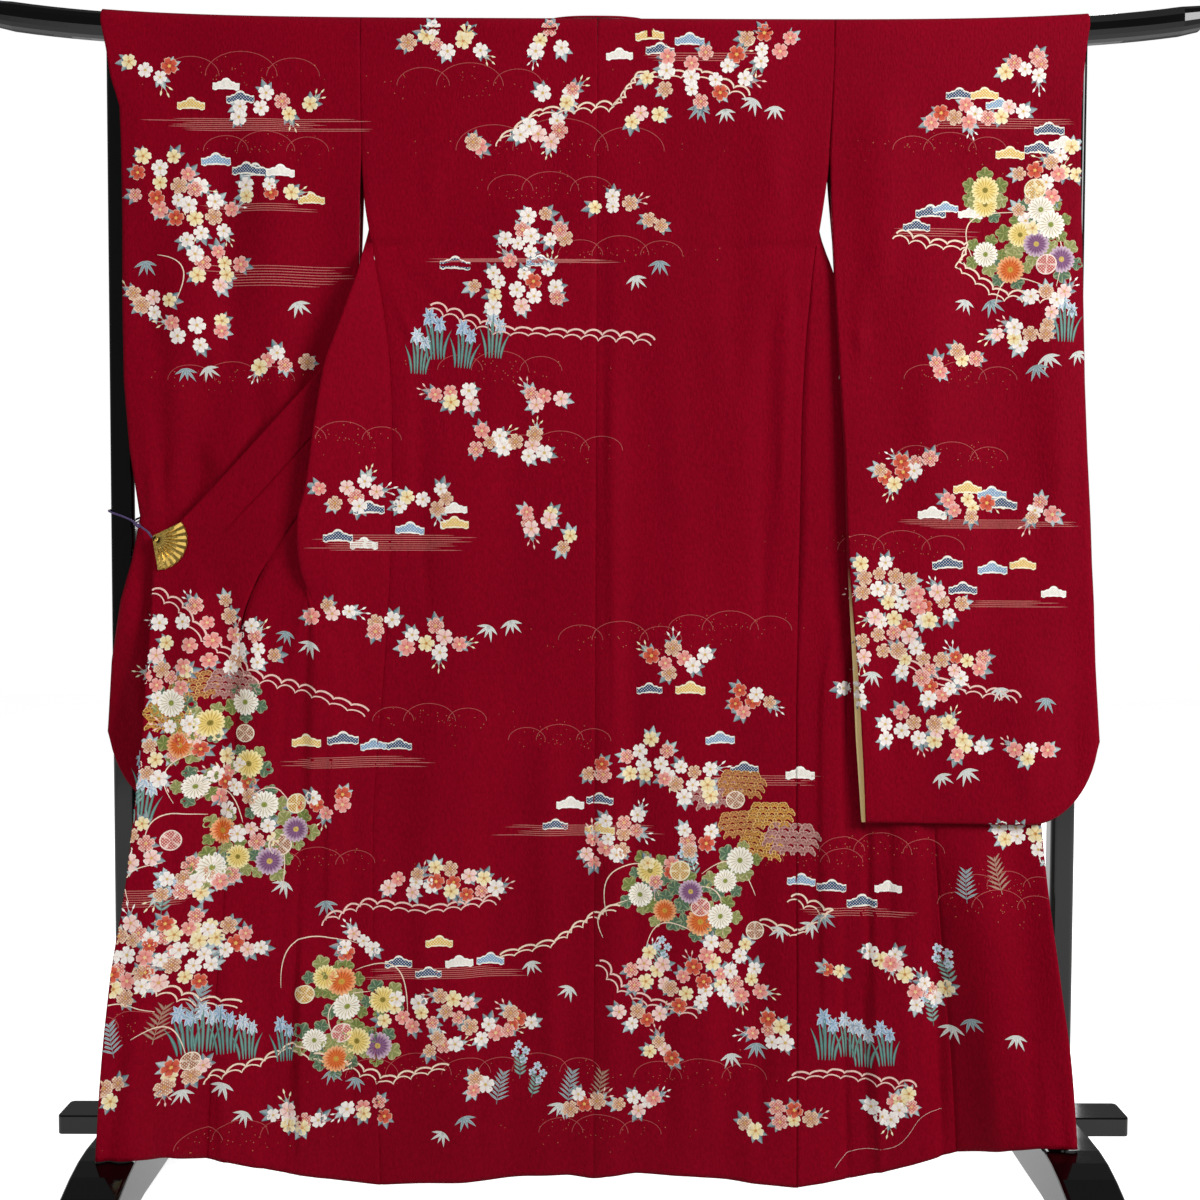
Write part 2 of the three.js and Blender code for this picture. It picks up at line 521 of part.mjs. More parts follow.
// ---- the sleeves ----
// One loop round a sleeve at share u from its inner to its outer edge: up the layer towards -Y, over
// the rail, down the far layer and round the bottom. off is the distance outside the middle of the
// wall. over(u) may run past the edges, for the hollow that is cut out.
function sleeveLoop(rows, side, u, off, low) {
  const at = (z, name) => read(rows, "z", z, name);
  const top = rows[0].z;
  const xAt = (z) => mix(at(z, "xi"), at(z, "xo"), u);
  const inside = Math.min(1, Math.max(0, u));
  const zBottom = rows[rows.length - 1].z;
  const xBottom = mix(at(zBottom, "xi"), at(zBottom, "xo"), inside);
  const reach = (xBottom - (at(zBottom, "xo") - CORNER_WIDE)) / CORNER_WIDE;
  const corner = CORNER_HIGH * (1 - Math.sqrt(1 - Math.min(0.985, Math.max(0, reach)) ** 2));
  const bottom = Math.max(zBottom + corner - off, low);
  const layer = (z, name) => mix(at(z, `${name}i`), at(z, `${name}o`), smooth(inside));
  const heights = rows.slice(1).map((r) => bottom + (r.z - zBottom) * ((top - bottom) / (top - zBottom)));
  const up = [...heights].reverse().map((z) => {
    const y = layer(z, "yb") - off;
    return V(side * xAt(z), y, z + rise(xAt(z)) * smooth((z - 1300) / 300));
  });
  const crest = OVER_SHARES.map((share) => hung(side * xAt(top), share, off));
  const down = heights.map((z) => {
    const y = layer(z, "yf") + off;
    return V(side * xAt(z), y, z + rise(xAt(z)) * smooth((z - 1300) / 300));
  });
  return [...up, ...crest, ...down];
}

// A solid skinned over loops of equal length, closed at both ends.
function loft(loops) {
  const n = loops[0].length;
  const positions = loops.flat().flatMap((p) => p.toArray());
  const index = [];
  for (let i = 0; i < loops.length - 1; i += 1)
    for (let j = 0; j < n; j += 1) {
      const k = (j + 1) % n;
      index.push(i * n + j, i * n + k, (i + 1) * n + k, i * n + j, (i + 1) * n + k, (i + 1) * n + j);
    }
  // Each end is closed by strips between its two layers.
  const cap = (base, turn) => {
    for (let a = 0, b = n - 1; a < b - 1; a += 1, b -= 1) {
      const quad = [base + a, base + a + 1, base + b - 1, base + b];
      const tris = [quad[0], quad[1], quad[2], quad[0], quad[2], quad[3]];
      if (a + 1 === b - 1) tris.splice(0, 3);
      for (let t = 0; t < tris.length; t += 3)
        index.push(tris[t], tris[t + (turn ? 2 : 1)], tris[t + (turn ? 1 : 2)]);
    }
  };
  cap(0, true);
  cap((loops.length - 1) * n, false);
  return outward(positions, index);
}

function sleeve(rows, side) {
  const shares = [0, 0.14, 0.34, 0.56, 0.72, 0.83, 0.91, 0.97, 1];
  const width = rows[8].xo - rows[8].xi;
  const edge = CLOTH / width; // the side wall at the closed outer edge
  const outer = loft(shares.map((u) => sleeveLoop(rows, side, u, CLOTH / 2, 0)));
  const within = [-0.02, ...shares.slice(1, -1), 1 - edge];
  const hollow = loft(within.map((u) => sleeveLoop(rows, side, u, -CLOTH / 2, 0)));
  const cuff = loft([0.94, 1.02].map((u) => sleeveLoop(rows, side, u, -CLOTH / 2, CUFF_BOTTOM)));
  // The far layer's cuff is drawn in past the post.
  const past = toSolid(box(POST_IN - 3, POST_OUT + 30, -POST_DEEP / 2 - 0.6, 60, CUFF_BOTTOM + 6, 1652));
  const clear = side < 0 ? past.mirror([1, 0, 0]) : past;
  const solid = toSolid(outer).subtract(toSolid(hollow)).subtract(toSolid(cuff)).subtract(clear);
  return toGeometry(solid);
}

// ---- the stand ----
// The rail comes apart into a middle and two bent ends, which meet out of sight under the sleeves.
function railSolid(off, from = -RAIL_HALF, to = RAIL_HALF, stations = 32) {
  const sides = 16;
  const loops = Array.from({ length: stations + 1 }, (_, i) => {
    const x = mix(from, to, i / stations);
    const nearEnd = 1 - 0.12 * smooth((Math.abs(x) - RAIL_HALF + 12) / 12);
    return Array.from({ length: sides }, (_, j) => {
      const angle = (2 * Math.PI * (j + 0.5)) / sides;
      const [y, z] = roundedArc(RAIL_DEEP / 2 + off, RAIL_HIGH / 2 + off, angle);
      return V(x, y * nearEnd, RAIL_AXIS + rise(x) + z * nearEnd);
    });
  });
  return loft(loops);
}

// A post stands on the board, and its top is hollowed to the rail's underside.
function post(side) {
  const shape = new THREE.Shape();
  const [w, d, r] = [POST_OUT - POST_IN, POST_DEEP, POST_ROUND];
  shape.moveTo(r, 0).lineTo(w - r, 0).absarc(w - r, r, r, -Math.PI / 2, 0);
  shape.lineTo(w, d - r).absarc(w - r, d - r, r, 0, Math.PI / 2);
  shape.lineTo(r, d).absarc(r, d - r, r, Math.PI / 2, Math.PI);
  shape.lineTo(0, r).absarc(r, r, r, Math.PI, 1.5 * Math.PI);
  const foot = BOARD_TOP + SEAM;
  const height = RAIL_TOP - foot;
  const geometry = new THREE.ExtrudeGeometry(shape, { depth: height, bevelEnabled: false, curveSegments: 4 });
  geometry.translate(side > 0 ? POST_IN : -POST_OUT, -d / 2, foot);
  const rail = toSolid(railSolid(SEAM));
  const above = toSolid(box(-900, 900, -60, 60, RAIL_AXIS + rise(POST_IN), RAIL_TOP + 60));
  return toGeometry(toSolid(geometry).subtract(rail).subtract(above));
}

// The low board lies across both feet, with rounded ends.
function board() {
  const r = 7;
  const shape = new THREE.Shape();
  const [w, d] = [BOARD_HALF, BOARD_DEEP / 2];
  shape.moveTo(-w + r, -d).lineTo(w - r, -d).absarc(w - r, -d + r, r, -Math.PI / 2, 0);
  shape.lineTo(w, d - r).absarc(w - r, d - r, r, 0, Math.PI / 2);
  shape.lineTo(-w + r, d).absarc(-w + r, d - r, r, Math.PI / 2, Math.PI);
  shape.lineTo(-w, -d + r).absarc(-w + r, -d + r, r, Math.PI, 1.5 * Math.PI);
  const bevel = 2;
  const geometry = new THREE.ExtrudeGeometry(shape, {
    depth: BOARD_THICK - 2 * bevel,
    bevelThickness: bevel,
    bevelSize: bevel,
    bevelOffset: -bevel,
    bevelSegments: 2,
    curveSegments: 3,
  });
  return geometry.translate(0, 0, BOARD_TOP - BOARD_THICK + bevel);
}

// A foot is an arched beam from front to back, let into the board by a notch in its top.
const FOOT_TOP = table("y z", [[0, 143.5], [60, 143.5], [150, 143.5], [185, 140], [220, 132],
  [259, 119], [285, 100], [305, 72], [319, 38], [326, 8], [326, 0]]);
const FOOT_UNDER = table("y z", [[262, 0], [252, 18], [235, 42], [205, 60], [170, 70], [138, 73]]);
function foot(side) {
  const half = [...FOOT_UNDER].reverse().concat([...FOOT_TOP].reverse());
  const outline = [
    ...half.map((p) => new THREE.Vector2(p.y, p.z)),
    ...[...half].reverse().slice(1).map((p) => new THREE.Vector2(-p.y, p.z)),
  ];
  const bevel = 5;
  const wide = FOOT_OUT - FOOT_IN;
  const geometry = new THREE.ExtrudeGeometry(new THREE.Shape(outline), {
    depth: wide - 2 * bevel,
    bevelThickness: bevel,
    bevelSize: bevel,
    bevelOffset: -bevel,
    bevelSegments: 3,
  });
  // The outline is drawn in Y and Z and pushed out along X.
  geometry.applyMatrix4(new THREE.Matrix4().makeBasis(V(0, 1, 0), V(0, 0, 1), V(1, 0, 0)));
  geometry.translate(side > 0 ? FOOT_IN + bevel : -FOOT_OUT + bevel, 0, 0);
  const notch = box(-800, 800, -BOARD_DEEP / 2 - SEAM, BOARD_DEEP / 2 + SEAM, BOARD_TOP - BOARD_THICK - SEAM, 200);
  return toGeometry(toSolid(geometry).subtract(toSolid(notch)));
}

// ---- the clips ----
// A clip is a pair of small opened fans, one on each face of the cloth, joined at the rivet.
function clip({ x, y, z }, side) {
  const { radius, plate, open, close, sticks } = CLIP;
  const gap = COLLAR_WALL / 2 + 2 * SEAM;
  const leaf = (front) => {
    const shape = new THREE.Shape();
    shape.moveTo(-5, 3);
    const arc = Array.from({ length: sticks + 1 }, (_, i) => {
      const angle = THREE.MathUtils.degToRad(mix(open, close, i / sticks));
      return [side * -radius * Math.cos(angle), radius * Math.sin(angle)];
    });
    shape.setFromPoints([
      new THREE.Vector2(side * 5, 5),
      ...arc.map(([u, v]) => new THREE.Vector2(u, v)),
      new THREE.Vector2(side * 5, -4),
    ]);
    const geometry = new THREE.ExtrudeGeometry(shape, { depth: plate, bevelEnabled: false });
    geometry.rotateX(Math.PI / 2);
    return geometry.translate(x, y + (front ? -gap : gap + plate), z);
  };
  const rivet = new THREE.CylinderGeometry(3, 3, 2 * (gap + plate) + 2, 14).translate(x + side * 1.5, y, z);
  const joined = toSolid(leaf(true)).add(toSolid(leaf(false))).add(toSolid(rivet));
  return toGeometry(joined);
}

// The cord leaves the clip, goes once round the post and comes back to its knot.
function clipCord(points, knot) {
  const path = new THREE.CatmullRomCurve3(points.map((p) => V(...p)), false, "centripetal");
  const ring = new THREE.Shape(
    Array.from({ length: 6 }, (_, i) => {
      const a = (2 * Math.PI * i) / 6;
      return new THREE.Vector2(CORD * Math.cos(a), CORD * Math.sin(a));
    }),
  );
  const tube = new THREE.ExtrudeGeometry(ring, { steps: 36, extrudePath: path });
  const bead = new THREE.SphereGeometry(3.2, 10, 8).scale(1.3, 0.9, 1).translate(...knot);
  return toGeometry(toSolid(tube).add(toSolid(bead)));
}
const CORD_ROUTE_LEFT = [
  [-619.5, -43, 968.5], [-628, -36, 977], [-641, -31, 985], [-656, -25, 994], [-672, -21.5, 1000],
  [-684, -20, 1004], [-688.5, -14, 1006], [-688.6, 0, 1007], [-688.4, 12, 1006], [-684, 19.6, 1004],
  [-668, 20.6, 1001], [-655, 19.8, 998], [-648.4, 12, 995], [-648, -4, 992], [-648.6, -18, 989.5],
  [-649, -28.5, 988], [-644, -33, 985.5],
];
const CORD_ROUTE_RIGHT = [
  [612.5, -15, 968.5], [622, -20, 974], [636, -22, 981], [654, -21.4, 988], [672, -20.6, 993],
  [684, -19.6, 996], [688.6, -13, 998], [688.8, 0, 999], [688.4, 12, 998], [684, 19.6, 996],
  [668, 20.6, 993], [655, 19.8, 990], [647.8, 12, 987], [647.6, -4, 984], [646, -16, 981],
  [641, -23.5, 979.5], [636.5, -25.5, 979.5],
];

// ---- the whole ----
const LACQUER = { color: 0x0b0b0d, roughness: 0.12, metalness: 0 };
const CRIMSON = { color: 0x8f0f22, roughness: 0.75, metalness: 0 };
const GOLD = { color: 0xc9a13b, roughness: 0.3, metalness: 1 };
const PURPLE = { color: 0x3c1b63, roughness: 0.6, metalness: 0 };

const kimono = new THREE.Group();
const stand = new THREE.Group();
const add = (group, name, geometry, look) => {
  const mesh = new THREE.Mesh(geometry, new THREE.MeshStandardMaterial(look));
  mesh.name = name;
  group.add(mesh);
};

add(stand, "stand_rail_middle", railSolid(0, -RAIL_JOINT, RAIL_JOINT, 12), LACQUER);
add(stand, "stand_rail_left", railSolid(0, -RAIL_HALF, -RAIL_JOINT - SEAM, 12), LACQUER);
add(stand, "stand_rail_right", railSolid(0, RAIL_JOINT + SEAM, RAIL_HALF, 12), LACQUER);
add(stand, "stand_board", board(), LACQUER);
for (const [name, side] of [["left", -1], ["right", 1]]) {
  add(stand, `stand_post_${name}`, post(side), LACQUER);
  add(stand, `stand_foot_${name}`, foot(side), LACQUER);
}

for (const [name, side, front, arm] of [
  ["left", -1, FRONT_LEFT, SLEEVE_LEFT],
  ["right", 1, FRONT_RIGHT, SLEEVE_RIGHT],
]) {
  add(kimono, `body_back_${name}`, body(front, side, "back"), CRIMSON);
  add(kimono, `body_front_${name}`, body(front, side, "front"), CRIMSON);
  add(kimono, `okumi_${name}`, okumi(front, side), CRIMSON);
  add(kimono, `sleeve_${name}`, sleeve(arm, side), CRIMSON);
}
add(kimono, "collar", collar(), CRIMSON);

add(kimono, "clip_left", clip(CLIP_LEFT, -1), GOLD);
add(kimono, "clip_right", clip(CLIP_RIGHT, 1), GOLD);
add(kimono, "clip_cord_left", clipCord(CORD_ROUTE_LEFT, [-642, -32, 985]), PURPLE);
add(kimono, "clip_cord_right", clipCord(CORD_ROUTE_RIGHT, [636, -24, 980]), PURPLE);

const part = new THREE.Group();
part.add(stand, kimono);
export default part;
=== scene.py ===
"""A furisode kimono of crimson crepe, hung by its back on a black lacquered stand.

Lengths in the tables are millimetres in the frame's axes: X along the rail, -Y the way the back
faces, +Z up. A left piece has negative X, and its table gives X as a distance from the middle. Each
sheet of cloth is one grid of points on its middle surface, which gets its thickness from a wall
modifier. Each kind of dyed motif is a flat pattern that is laid on the cloth many times as thin pieces.
"""
import math

import bmesh
import bpy
import numpy as np
from mathutils import Matrix


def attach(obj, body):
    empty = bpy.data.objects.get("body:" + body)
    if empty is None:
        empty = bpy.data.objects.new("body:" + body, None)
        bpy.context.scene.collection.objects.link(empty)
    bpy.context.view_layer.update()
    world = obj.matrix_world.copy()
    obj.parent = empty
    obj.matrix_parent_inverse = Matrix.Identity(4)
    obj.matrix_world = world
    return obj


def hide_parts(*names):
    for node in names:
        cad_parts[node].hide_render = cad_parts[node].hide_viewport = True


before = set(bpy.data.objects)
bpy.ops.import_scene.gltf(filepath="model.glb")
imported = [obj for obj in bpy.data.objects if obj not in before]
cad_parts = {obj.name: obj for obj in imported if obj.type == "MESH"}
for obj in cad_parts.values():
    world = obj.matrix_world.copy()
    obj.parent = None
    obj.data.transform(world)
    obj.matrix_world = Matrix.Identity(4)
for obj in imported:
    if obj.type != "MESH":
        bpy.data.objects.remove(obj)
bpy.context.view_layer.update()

MM = 0.001
rng = np.random.default_rng(1703)

# ------------------------------------------------------------------ camera and light

LENS, SENSOR = 48, 36
EYE = (0, -2.281, 0.985)
PITCH, YAW, ROLL = -2.6, 0.161, 0.2
ROOM = 0.21


def placed(name, data, right, up, back, place):
    """An object of data at place, in metres, whose X, Y and Z axes are right, up and back."""
    made = bpy.data.objects.new(name, data)
    bpy.context.collection.objects.link(made)
    matrix = np.eye(4)
    matrix[:3] = np.stack([right, up, back, np.array(place, float)], 1)
    made.matrix_world = Matrix(matrix)
    return made


def unit(vector):
    """The vector at length one."""
    return vector / np.linalg.norm(vector)


def make_camera():
    """A long lens at EYE, in metres: PITCH turns it up, YAW to its right and ROLL leans it."""
    pitch, yaw, roll = np.radians([PITCH, YAW, ROLL])
    ahead = np.array([np.sin(yaw) * np.cos(pitch), np.cos(yaw) * np.cos(pitch), np.sin(pitch)])
    right = unit(np.cross(ahead, [0, 0, 1]))
    up = np.cross(right, ahead)
    level, lean = np.cos(roll), np.sin(roll)
    right, up = level * right + lean * up, level * up - lean * right
    data = bpy.data.cameras.new("camera")
    data.lens, data.sensor_width, data.sensor_fit = LENS, SENSOR, "HORIZONTAL"
    bpy.context.scene.camera = placed("camera", data, right, up, -ahead, EYE)


def add_light(name, size, power, place, aim, mirrored=True):
    """A square soft box at place, turned to aim, which glossy surfaces show if mirrored."""
    data = bpy.data.lights.new(name, "AREA")
    data.shape, data.size, data.energy = "SQUARE", size, power
    back = unit(np.array(place, float) - np.array(aim, float))
    right = unit(np.cross([0, 0, 1], back))
    light = placed(name, data, right, np.cross(back, right), back, place)
    light.visible_glossy = mirrored


make_camera()
add_light("key", 1.5, 143, (2.9, -2.6, 2.6), (0, 0, 0.85))
add_light("fill", 2.2, 42, (-2.4, -3.4, 1.6), (0, 0, 0.8), mirrored=False)
add_light("top", 2.5, 10, (0.2, -0.9, 3.9), (0, -0.1, 0.8))
add_light("behind", 2.6, 110, (0.5, 3.6, 2.2), (0, 0, 0.9))

# A white ground as the camera sees it, and a dimmer room as everything else does
world = bpy.data.worlds.new("studio")
bpy.context.scene.world = world
world.use_nodes = True
nodes, links = world.node_tree.nodes, world.node_tree.links
open_sky, room = nodes["Background"], nodes.new("ShaderNodeBackground")
open_sky.inputs["Color"].default_value = (1, 1, 1, 1)
room.inputs["Color"].default_value = (1, 1, 1, 1)
room.inputs["Strength"].default_value = ROOM
seen, choose = nodes.new("ShaderNodeLightPath"), nodes.new("ShaderNodeMixShader")
links.new(seen.outputs["Is Camera Ray"], choose.inputs["Fac"])
links.new(room.outputs[0], choose.inputs[1])
links.new(open_sky.outputs[0], choose.inputs[2])
links.new(choose.outputs[0], nodes["World Output"].inputs["Surface"])
bpy.context.scene.view_settings.view_transform = "Standard"

# ------------------------------------------------------------------ materials


class Finish:
    """A material with short ways to add its nodes. An underscore stands for a space in a socket's name."""

    def __init__(self, name, **sockets):
        self.material = bpy.data.materials.new(name)
        self.material.use_nodes = True
        self.tree = self.material.node_tree
        self.shader = self.tree.nodes["Principled BSDF"]
        for key, value in sockets.items():
            self.shader.inputs[key.replace("_", " ")].default_value = value

    def node(self, kind, links=(), **values):
        """A node of a kind, with values for its settings and sockets, and links into its sockets."""
        made = self.tree.nodes.new(kind)
        for key, value in values.items():
            if hasattr(made, key):
                setattr(made, key, value)
            else:
                made.inputs[key.replace("_", " ")].default_value = value
        for socket, source in dict(links).items():
            self.tree.links.new(source, made.inputs[socket])
        return made

    def scaled(self, scale, turn=(0, 0, 0)):
        """Object coordinates, scaled along each axis and turned."""
        place = self.node("ShaderNodeTexCoord").outputs["Object"]
        return self.node("ShaderNodeMapping", {"Vector": place}, Scale=scale, Rotation=turn).outputs["Vector"]

    def noise(self, scale, detail=2.0, rough=0.5):
        """Noise with scale cells to the metre along each axis."""
        made = self.node("ShaderNodeTexNoise", {"Vector": self.scaled(scale)}, Scale=1.0, Detail=detail,
                         Roughness=rough)
        return made.outputs["Fac"]

    def ramp(self, fac, stops):
        """Colours between stops, each a place and a colour or a grey."""
        made = self.node("ShaderNodeValToRGB", {"Fac": fac})
        for element, (at, colour) in zip(made.color_ramp.elements, stops):
            element.position = at
            element.color = (*np.full(3, colour, float), 1)
        return made.outputs["Color"]

    def bump(self, height, strength, distance, under=None):
        """A normal shaped by height, over the normal under it."""
        links = {"Height": height} if under is None else {"Height": height, "Normal": under}
        return self.node("ShaderNodeBump", links, Strength=strength, Distance=distance).outputs["Normal"]

    def times(self, first, second):
        """One colour multiplied by another."""
        return self.node("ShaderNodeMix", {6: first, 7: second}, data_type="RGBA", blend_type="MULTIPLY",
                         Factor=1.0).outputs[2]

    def into(self, socket, source):
        """Links source into the shader."""
        self.tree.links.new(source, self.shader.inputs[socket])


def crepe_normal(finish, strength):
    """The pebbled crepe grain: wavering crinkles drawn out along the warp, with a fine grain on them."""
    soft = finish.bump(finish.noise((900, 900, 560), 2.0, 0.6), 0.5 * strength, 0.0006)
    return finish.bump(finish.noise((330, 330, 150), 3.0, 0.6), strength, 0.0021, soft)


def crepe_fleck(finish, low, high):
    """Light and dark between low and high, as small as the crepe's crinkles."""
    return finish.ramp(finish.noise((360, 360, 170), 3.0, 0.62), [(0.3, low), (0.7, high)])


def make_crepe():
    """Crimson silk crepe: a crinkled grain, and a slow unevenness of the dye."""
    finish = Finish("crimson_crepe", Roughness=0.62, Specular_IOR_Level=0.07, Specular_Tint=(1, 0.25, 0.35, 1))
    dye = finish.ramp(finish.noise((5, 5, 3), 3.0), [(0.3, (0.208, 0.0004, 0.0094)), (0.7, (0.246, 0.0007, 0.0113))])
    finish.into("Base Color", finish.times(dye, crepe_fleck(finish, 0.8, 1.14)))
    finish.into("Normal", crepe_normal(finish, 0.7))
    return finish.material


def silk_normal(finish):
    """The faint level rib of lining silk."""
    return finish.bump(finish.noise((260, 260, 1400)), 0.25, 0.0004)


def make_lining():
    """Smooth white lining silk, a little uneven."""
    finish = Finish("white_lining", Roughness=0.6, Sheen_Weight=0.1)
    slow = finish.noise((9, 9, 6), 3.0)
    finish.into("Base Color", finish.ramp(slow, [(0.3, (0.66, 0.64, 0.61)), (0.7, (0.76, 0.74, 0.71))]))
    finish.into("Normal", silk_normal(finish))
    return finish.material


def make_sleeve_lining():
    """The sleeves' lining: crimson above, fading to cream towards the bottom, by the height in metres."""
    finish = Finish("shaded_sleeve_lining", Roughness=0.6, Specular_IOR_Level=0.1)
    height = finish.node("ShaderNodeSeparateXYZ", {"Vector": finish.scaled((1, 1, 1))}).outputs["Z"]
    finish.into("Base Color", finish.ramp(height, [(0.84, (0.95, 0.72, 0.34)), (0.93, (0.2, 0.001, 0.01))]))
    finish.into("Normal", silk_normal(finish))
    return finish.material


def resist_dots(finish, colour, plain):
    """The colour with pale tied-resist dots where plain is 0: discs in a slanting lattice 2.9 mm apart."""
    cell = finish.node("ShaderNodeVectorMath", {0: finish.scaled((345, 0, 345), (0, 0.785, 0))}, operation="FRACTION")
    off = finish.node("ShaderNodeVectorMath", {0: cell.outputs[0]}, operation="SUBTRACT")
    off.inputs[1].default_value = (0.5, 0, 0.5)
    away = finish.node("ShaderNodeVectorMath", {0: off.outputs[0]}, operation="LENGTH").outputs["Value"]
    disc = finish.ramp(away, [(0.18, 1), (0.28, 0)])
    dotted = finish.node("ShaderNodeMath", {1: plain}, operation="SUBTRACT")
    dotted.inputs[0].default_value = 1.0
    share = finish.node("ShaderNodeMath", {0: disc, 1: dotted.outputs[0]}, operation="MULTIPLY").outputs[0]
    spotted = finish.node("ShaderNodeMix", {"Factor": share, 6: colour}, data_type="RGBA")
    spotted.inputs[7].default_value = (0.96, 0.9, 0.8, 1)
    return spotted.outputs[2]


def make_dyed():
    """Paste-resist dyeing and gold leaf on crepe: each motif's colours, broken by the grain."""
    finish = Finish("dyed_motifs", Roughness=0.6, Specular_IOR_Level=0.15)
    dye = finish.node("ShaderNodeVertexColor", layer_name="dye").outputs
    colour = resist_dots(finish, dye["Color"], dye["Alpha"])
    finish.into("Base Color", finish.times(colour, crepe_fleck(finish, 0.88, 1.08)))
    finish.into("Normal", crepe_normal(finish, 0.4))
    return finish.material


def make_lacquer():
    """Black lacquer: a deep gloss over a barely uneven ground."""
    finish = Finish("black_lacquer", Roughness=0.06, Specular_IOR_Level=0.3)
    slow = finish.noise((14, 14, 14), 4.0)
    finish.into("Base Color", finish.ramp(slow, [(0.3, (0.0003, 0.0003, 0.0004)), (0.7, (0.0008, 0.0008, 0.001))]))
    finish.into("Roughness", finish.ramp(slow, [(0.3, 0.05), (0.75, 0.08)]))
    finish.into("Normal", finish.bump(finish.noise((40, 40, 40)), 0.05, 0.0005))
    return finish.material


def make_gilt():
    """Stamped gilt metal, a little rubbed."""
    finish = Finish("rubbed_gilt", Metallic=1.0, Roughness=0.3)
    wear = finish.noise((300, 300, 300), 4.0, 0.6)
    finish.into("Base Color", finish.ramp(wear, [(0.35, (0.5, 0.33, 0.08)), (0.65, (0.62, 0.42, 0.11))]))
    finish.into("Roughness", finish.ramp(wear, [(0.3, 0.22), (0.75, 0.42)]))
    finish.into("Normal", finish.bump(wear, 0.15, 0.0003))
    return finish.material


def make_braid():
    """Purple braided cord: slanting ribs, with painted shade darkening the hollows between them."""
    finish = Finish("purple_braid", Roughness=0.6, Sheen_Weight=0.3)
    slant = finish.scaled((700, 700, 700), (0.5, 0.4, 0.6))
    wave = finish.node("ShaderNodeTexWave", {"Vector": slant}, Distortion=1.0).outputs["Fac"]
    # Painted shade: the colour darkens where the ribs' wave is low, in the hollows, and lightens on the raised ribs
    finish.into("Base Color", finish.ramp(wave, [(0.2, (0.02, 0.006, 0.06)), (0.8, (0.07, 0.02, 0.17))]))
    finish.into("Normal", finish.bump(wave, 0.5, 0.0006))
    return finish.material


def make_floor():
    """White paper that glows a little, so that it meets the white ground."""
    finish = Finish("floor_paper", Roughness=0.9, Emission_Color=(1, 1, 1, 1), Emission_Strength=0.78)
    finish.into("Base Color", finish.ramp(finish.noise((3, 3, 3)), [(0.2, 0.86), (0.8, 0.9)]))
    return finish.material


CREPE = make_crepe()
LINING = make_lining()
SLEEVE_LINING = make_sleeve_lining()
DYED = make_dyed()
LACQUER = make_lacquer()
GILT = make_gilt()
BRAID = make_braid()

# ------------------------------------------------------------------ mesh tools


def add_object(name, points, faces, materials, rounded=True):
    """A mesh object at the origin, from points in millimetres, shaded smooth if rounded."""
    mesh = bpy.data.meshes.new(name)
    mesh.from_pydata(np.asarray(points, float) * MM, [], np.asarray(faces).tolist())
    for material in materials:
        mesh.materials.append(material)
    mesh.polygons.foreach_set("use_smooth", np.full(len(mesh.polygons), rounded))
    mesh.update()
    made = bpy.data.objects.new(name, mesh)
    bpy.context.collection.objects.link(made)
    return made


def grid_faces(rows, columns, flip=False):
    """Quads of a grid whose points are numbered along its rows."""
    i, j = np.meshgrid(np.arange(rows - 1), np.arange(columns - 1), indexing="ij")
    a = (i * columns + j).ravel()
    quads = np.stack([a, a + 1, a + columns + 1, a + columns], 1)
    return quads[:, ::-1] if flip else quads


def ring_faces(rings, steps):
    """Quads between closed rings of steps points each, the first ring's points numbered first."""
    i, j = np.meshgrid(np.arange(rings - 1), np.arange(steps), indexing="ij")
    a, b = i * steps + j, i * steps + (j + 1) % steps
    return np.stack([a, a + steps, b + steps, b], -1).reshape(-1, 4)


def cubic(a, b, slope_a, slope_b, h, s):
    """A cubic from a to b over the length h, at the share s of it, with given slopes at its ends."""
    s2, s3 = s * s, s * s * s
    return ((2 * s3 - 3 * s2 + 1) * a + (s3 - 2 * s2 + s) * h * slope_a
            + (3 * s2 - 2 * s3) * b + (s3 - s2) * h * slope_b)


def slopes(t, p):
    """Slopes of a curve through p that never overshoots, along the first axis (Fritsch-Carlson)."""
    h = np.maximum(np.diff(t, axis=0), 1e-9)
    d = np.diff(p, axis=0) / h
    m = np.zeros_like(p)
    same = d[:-1] * d[1:] > 0
    w1, w2 = 2 * h[1:] + h[:-1], h[1:] + 2 * h[:-1]
    with np.errstate(divide="ignore", invalid="ignore"):
        inner = (w1 + w2) / (w1 / d[:-1] + w2 / d[1:])
    m[1:-1] = np.where(same, np.nan_to_num(inner), 0)
    m[0], m[-1] = d[0], d[-1]
    return m


def refine(points, steps, axis=0):
    """Points added between those of a grid, on curves through them, steps[i] in interval i."""
    p = np.moveaxis(points, axis, 0)
    length = np.linalg.norm(np.diff(p, axis=0), axis=-1, keepdims=True)
    t = np.concatenate([np.zeros_like(length[:1]), np.cumsum(np.maximum(length, 1e-3), axis=0)])
    t = np.broadcast_to(t, p.shape)
    m = slopes(t, p)
    out = []
    for i, k in enumerate(steps):
        s = (np.arange(k) / k).reshape(-1, *([1] * (p.ndim - 1)))
        out.append(cubic(p[i], p[i + 1], m[i], m[i + 1], t[i + 1] - t[i], s))
    out.append(p[-1:])
    return np.moveaxis(np.concatenate(out), 0, axis)


def smooth(t):
    """From 0 to 1 as t does, with a level start and end: three t squared less two t cubed."""
    k = np.clip(t, 0, 1)
    return k * k * (3 - 2 * k)


def bell(t):
    """A bell curve, 1 at 0 and 0.37 at 1."""
    return np.exp(-t * t)


def grid_normals(points):
    """Unit normals of a grid: across x along."""
    n = np.cross(np.gradient(points, axis=1), np.gradient(points, axis=0))
    return n / np.maximum(np.linalg.norm(n, axis=-1, keepdims=True), 1e-9)


